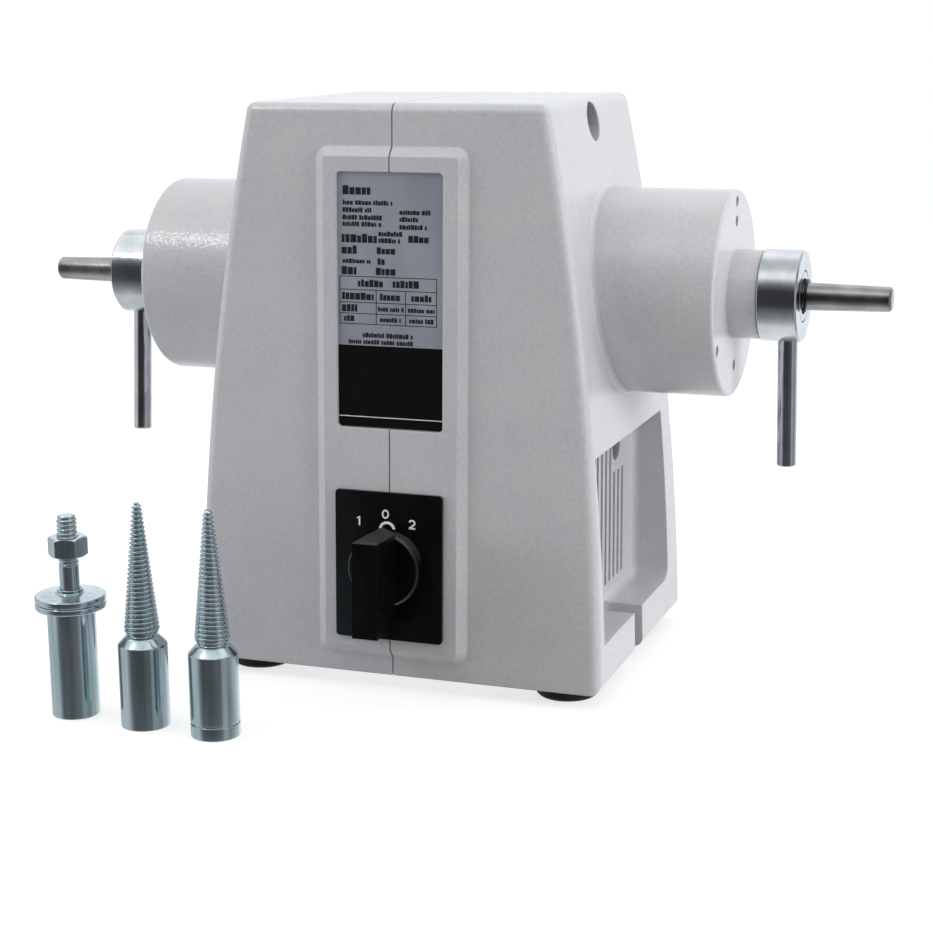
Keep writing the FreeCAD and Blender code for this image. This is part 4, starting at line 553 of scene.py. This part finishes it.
# Each line of print from its left end to its right, with its middle's height and its own height.
PRINTED_LINES = [
    (-22.8, -9.4, 230.4, 3.4),
    (-22.8, 1.1, 224.9, 1.8), (-22.9, -9.0, 221.6, 1.8), (-22.9, -4.0, 218.3, 1.8),
    (-22.9, -4.3, 215.4, 1.8), (4.4, 19.3, 221.0, 1.8), (4.4, 13.2, 217.9, 1.8),
    (4.4, 17.3, 214.5, 1.8), (-23.4, -6.4, 209.1, 3.4), (-5.6, 6.5, 211.3, 1.8),
    (-5.6, 5.3, 208.3, 1.8), (8.6, 18.9, 209.3, 2.7), (-23.4, -15.8, 203.9, 3.2),
    (-6.5, 3.6, 203.8, 2.6), (-23.0, -9.0, 198.9, 1.7), (-6.1, -2.3, 199.1, 2.6),
    (-23.5, -16.3, 194.6, 3.1), (-6.9, 3.6, 194.7, 3.0), (-15.6, -3.6, 189.1, 2.8),
    (1.1, 13.6, 189.3, 3.0), (-23.4, -8.0, 183.2, 2.8), (-5.0, 5.5, 183.2, 2.6),
    (10.0, 20.5, 183.2, 2.6), (-23.4, -16.0, 177.8, 2.8), (-6.0, 6.3, 177.7, 1.7),
    (8.4, 21.0, 177.7, 1.7), (-22.5, -17.0, 173.1, 2.2), (-5.0, 5.0, 173.0, 1.8),
    (9.0, 20.5, 173.0, 1.8), (-13.4, 10.7, 165.8, 1.8), (-20.3, 10.7, 162.7, 1.7),
]
# The ruled table: its lines from top to bottom, its two sides and the columns below its heading.
TABLE_ROWS = (192.0, 186.1, 180.4, 175.4, 170.7)
TABLE_SIDES = (-24.4, 22.0)
TABLE_COLUMNS = (-6.8, 7.3)
HALF_LINE = 0.17

words = []
for low_x, high_x, middle, tall in PRINTED_LINES:
    words += blocked_words(low_x, high_x, middle, tall)
for up in TABLE_ROWS:
    words.append(bar(TABLE_SIDES[0] - HALF_LINE, TABLE_SIDES[1] + HALF_LINE,
                     up - HALF_LINE, up + HALF_LINE))
for uprights, top in ((TABLE_SIDES, TABLE_ROWS[0]), (TABLE_COLUMNS, TABLE_ROWS[1])):
    for x in uprights:
        words.append(bar(x - HALF_LINE, x + HALF_LINE, TABLE_ROWS[-1] + HALF_LINE,
                         top - HALF_LINE))
printed("name_plate_lines", words, NAME_PLATE_FACE, INK_GREY, "plate_foil")

# The black field at the foot of the name plate, and the white rule across it.
FIELD_HALF, FIELD_LOW, FIELD_HIGH, FIELD_CORNER = 25.2, 123.9, 161.0, 1.9
RULE_LOW, RULE_HIGH = 128.35, 128.75
lower_field = [(FIELD_HALF, FIELD_HIGH), (-FIELD_HALF, FIELD_HIGH)]
for side, start in ((-1, 180), (1, 270)):
    centre = (side * (FIELD_HALF - FIELD_CORNER), FIELD_LOW + FIELD_CORNER)
    lower_field += arc(centre, FIELD_CORNER, FIELD_CORNER, start, start + 90, 5)
printed("name_plate_lower_field", [lower_field], NAME_PLATE_FACE, INK_BLACK, "plate_foil")
printed("name_plate_rule", [bar(-FIELD_HALF, FIELD_HALF, RULE_LOW, RULE_HIGH)],
        NAME_PLATE_FACE + FILM, WHITE_FILL, "white_mark")

STROKE, FLAG_STROKE = 0.78, 0.6
ZERO_CENTRE, ZERO_OUTER, ZERO_INNER, ZERO_STEPS = (-1.35, 84.8), (1.75, 2.15), (0.98, 1.38), 28
one = [ribbon([(-15.4, 82.0), (-14.7, 82.4), (-14.1, 82.9), (-14.1, 82.8)], FLAG_STROKE),
       ribbon([(-14.1, 83.1), (-14.1, 78.7)], STROKE)]
ring_out, ring_in = [arc(ZERO_CENTRE, *radii, 0, 360, ZERO_STEPS)[:-1]
                     for radii in (ZERO_OUTER, ZERO_INNER)]
zero = [[ring_out[i], ring_out[(i + 1) % ZERO_STEPS], ring_in[(i + 1) % ZERO_STEPS], ring_in[i]]
        for i in range(ZERO_STEPS)]
two = [ribbon(arc((11.55, 81.6), 1.3, 1.2, 165, -25, 10) + [(11.6, 80.1), (10.2, 79.1)], STROKE),
       ribbon([(9.9, 79.1), (13.2, 79.1)], STROKE)]
printed("dial_numbers", one + zero + two, SWITCH_PLATE_FACE, WHITE_FILL, "white_mark")


# ---------------------------------------------------------------- bench, lamps and camera

def bench():
    """Matt background paper without gloss: white to the camera wherever no shadow falls on it. It
    is greyer than it looks, so that undersides stay in shade, and bright metal shows the studio's
    levels in its place, which go dark below the camera as the room does."""
    reach, paper_glow = 6.0, 0.7
    mesh = bpy.data.meshes.new("bench_sweep")
    corners = [(-reach, -reach, 0), (reach, -reach, 0), (reach, reach, 0), (-reach, reach, 0)]
    mesh.from_pydata(corners, [], [(0, 1, 2, 3)])
    material = bpy.data.materials.new("white_sweep")
    tree = emptied(material)
    seen = add(tree, "LightPath")
    shown = add(tree, "Math", {0: seen.outputs["Is Camera Ray"],
                               1: seen.outputs["Is Transmission Ray"]}, operation="MAXIMUM")
    shown = add(tree, "Math", {0: shown.outputs[0], 1: seen.outputs["Is Glossy Ray"]},
                operation="MAXIMUM")
    glow = add(tree, "Math", {0: shown.outputs[0], 1: paper_glow}, operation="MULTIPLY")
    paper = add(tree, "BsdfPrincipled", {"Base Color": linear("#A6A6A6"), "Roughness": 0.9,
                                         "Specular IOR Level": 0.0,
                                         "Emission Color": linear("#FFFFFF"),
                                         "Emission Strength": glow.outputs[0]})
    add(tree, "OutputMaterial", {"Surface": paper.outputs["BSDF"]})
    mesh.materials.append(material)
    sweep = bpy.data.objects.new("bench_sweep", mesh)
    bpy.context.scene.collection.objects.link(sweep)
    sweep.visible_glossy = False


# How bright the surroundings are by direction, in degrees from straight in front, negative to the
# left: a white wall behind, grey flags at the left, and the unlit room round the camera.
ROUND_LEVELS = [
    (-180, 1.02), (-146, 1.10), (-138, 0.60), (-55, 0.64), (-42, 0.24), (-28, 0.045), (18, 0.038),
    (30, 0.07), (58, 0.10), (66, 0.36), (84, 0.42), (94, 0.26), (110, 0.30), (122, 0.50),
    (134, 0.62), (156, 0.75), (163, 1.02)]
# How much of that shows by degrees above the horizon. The rest is the ceiling or the bench.
HEIGHT_SHARES = [
    (-76, 0.05), (-62, 0.5), (-50, 0.72), (-30, 0.90), (-18, 1.0), (18, 1.0), (31, 0.88),
    (41, 0.55), (48, 0.08), (52, 0.0)]
# How bright the ceiling and the bench are by degrees above the horizon.
CEILING_LEVELS = [(-90, 0.92), (30, 1.0), (52, 1.25), (62, 1.15), (74, 0.74), (90, 0.66)]
WALL_TINT = (0.97, 1.0, 1.02)


def studio():
    """White surroundings, with the unlit room round the camera as the dark part that bright metal
    shows."""
    world = bpy.data.worlds.new("studio")
    bpy.context.scene.world = world
    tree = emptied(world)
    towards = add(tree, "SeparateXYZ", {0: add(tree, "TexCoord").outputs["Generated"]})
    # The bearing from -180 to 180 degrees as 0 to 1, and the height from straight down to up.
    front = add(tree, "Math", {0: towards.outputs["Y"], 1: -1.0}, operation="MULTIPLY")
    turn = add(tree, "Math", {0: towards.outputs["X"], 1: front.outputs[0]}, operation="ARCTAN2")
    share = add(tree, "Math", {0: turn.outputs[0], 1: 1 / math.tau, 2: 0.5},
                operation="MULTIPLY_ADD")
    walls = add(tree, "ValToRGB", {"Fac": share.outputs[0]}, [
        (0.5 + degrees / 360, [level * tint for tint in WALL_TINT] + [1])
        for degrees, level in ROUND_LEVELS])
    height = add(tree, "Math", {0: towards.outputs["Z"], 1: 0.5, 2: 0.5},
                 operation="MULTIPLY_ADD")
    low_part, ceiling = [
        add(tree, "ValToRGB", {"Fac": height.outputs[0]}, [
            (0.5 + math.sin(math.radians(degrees)) / 2, (level, level, level, 1))
            for degrees, level in levels])
        for levels in (HEIGHT_SHARES, CEILING_LEVELS)]
    lights = add(tree, "MixRGB", {"Fac": low_part.outputs[0], 1: ceiling.outputs[0],
                                  2: walls.outputs[0]})
    seen = add(tree, "LightPath")
    shown = add(tree, "Math", {0: seen.outputs["Is Camera Ray"],
                               1: seen.outputs["Is Transmission Ray"]}, operation="MAXIMUM")
    colour = add(tree, "MixRGB", {"Fac": shown.outputs[0], 1: lights.outputs[0],
                                  2: linear("#FFFFFF")})
    sky = add(tree, "Background", {"Color": colour.outputs[0], "Strength": 1.0})
    add(tree, "OutputWorld", {"Surface": sky.outputs[0]})


def softbox(name, place, aim, size, watts, mirrored=False):
    """A soft lamp, its place, aim and size in metres. Only a mirrored one shows in bright metal
    and lacquer."""
    light = bpy.data.lights.new(name, "AREA")
    light.shape = "RECTANGLE"
    light.size, light.size_y = size
    light.energy = watts
    lamp = bpy.data.objects.new(name, light)
    lamp.location = place
    lamp.rotation_euler = (Vector(aim) - Vector(place)).to_track_quat("-Z", "Y").to_euler()
    lamp.visible_glossy = mirrored
    bpy.context.scene.collection.objects.link(lamp)


def camera():
    """A long lens from the front right, a little above and a touch out of level. Angles are in
    degrees, distance and target in metres."""
    azimuth, elevation, roll = math.radians(19.70), math.radians(12.75), math.radians(-0.47)
    distance, target = 0.9702, Vector((0.00755, 0, 0.09084))
    back = Vector((math.sin(azimuth) * math.cos(elevation),
                   -math.cos(azimuth) * math.cos(elevation), math.sin(elevation)))
    right = Vector((0, 0, 1)).cross(back).normalized()
    up = back.cross(right)
    tilt_right = right * math.cos(roll) + up * math.sin(roll)
    tilt_up = up * math.cos(roll) - right * math.sin(roll)
    data = bpy.data.cameras.new("view")
    data.lens, data.sensor_width = 76.48, 36
    data.shift_x, data.shift_y = 0.00312, -0.0012
    data.clip_start, data.clip_end = 0.05, 30
    eye = bpy.data.objects.new("view", data)
    turn = Matrix((tilt_right, tilt_up, back)).transposed().to_4x4()
    eye.matrix_world = Matrix.Translation(target + back * distance) @ turn
    bpy.context.scene.collection.objects.link(eye)
    bpy.context.scene.camera = eye


bench()
studio()
softbox("overhead_softbox", (0.10, 0.05, 1.45), (0, 0, 0.2), (1.2, 1.2), 2.4)
softbox("right_softbox", (1.35, -0.15, 0.38), (0, 0, 0.15), (0.9, 0.55), 13.2)
softbox("left_softbox", (-1.20, -0.60, 0.20), (0, 0, 0.16), (0.6, 0.3), 5.4)
softbox("front_softbox", (0.25, -1.6, 0.45), (0, 0, 0.15), (0.9, 0.7), 2.4)
# A small hard lamp high on the left, for the glint along the left hub's enamel.
softbox("left_key", (-0.66, -0.80, 1.06), (0, 0, 0.18), (0.20, 0.20), 1.6, mirrored=True)
camera()

bpy.context.scene.view_settings.view_transform = "Standard"
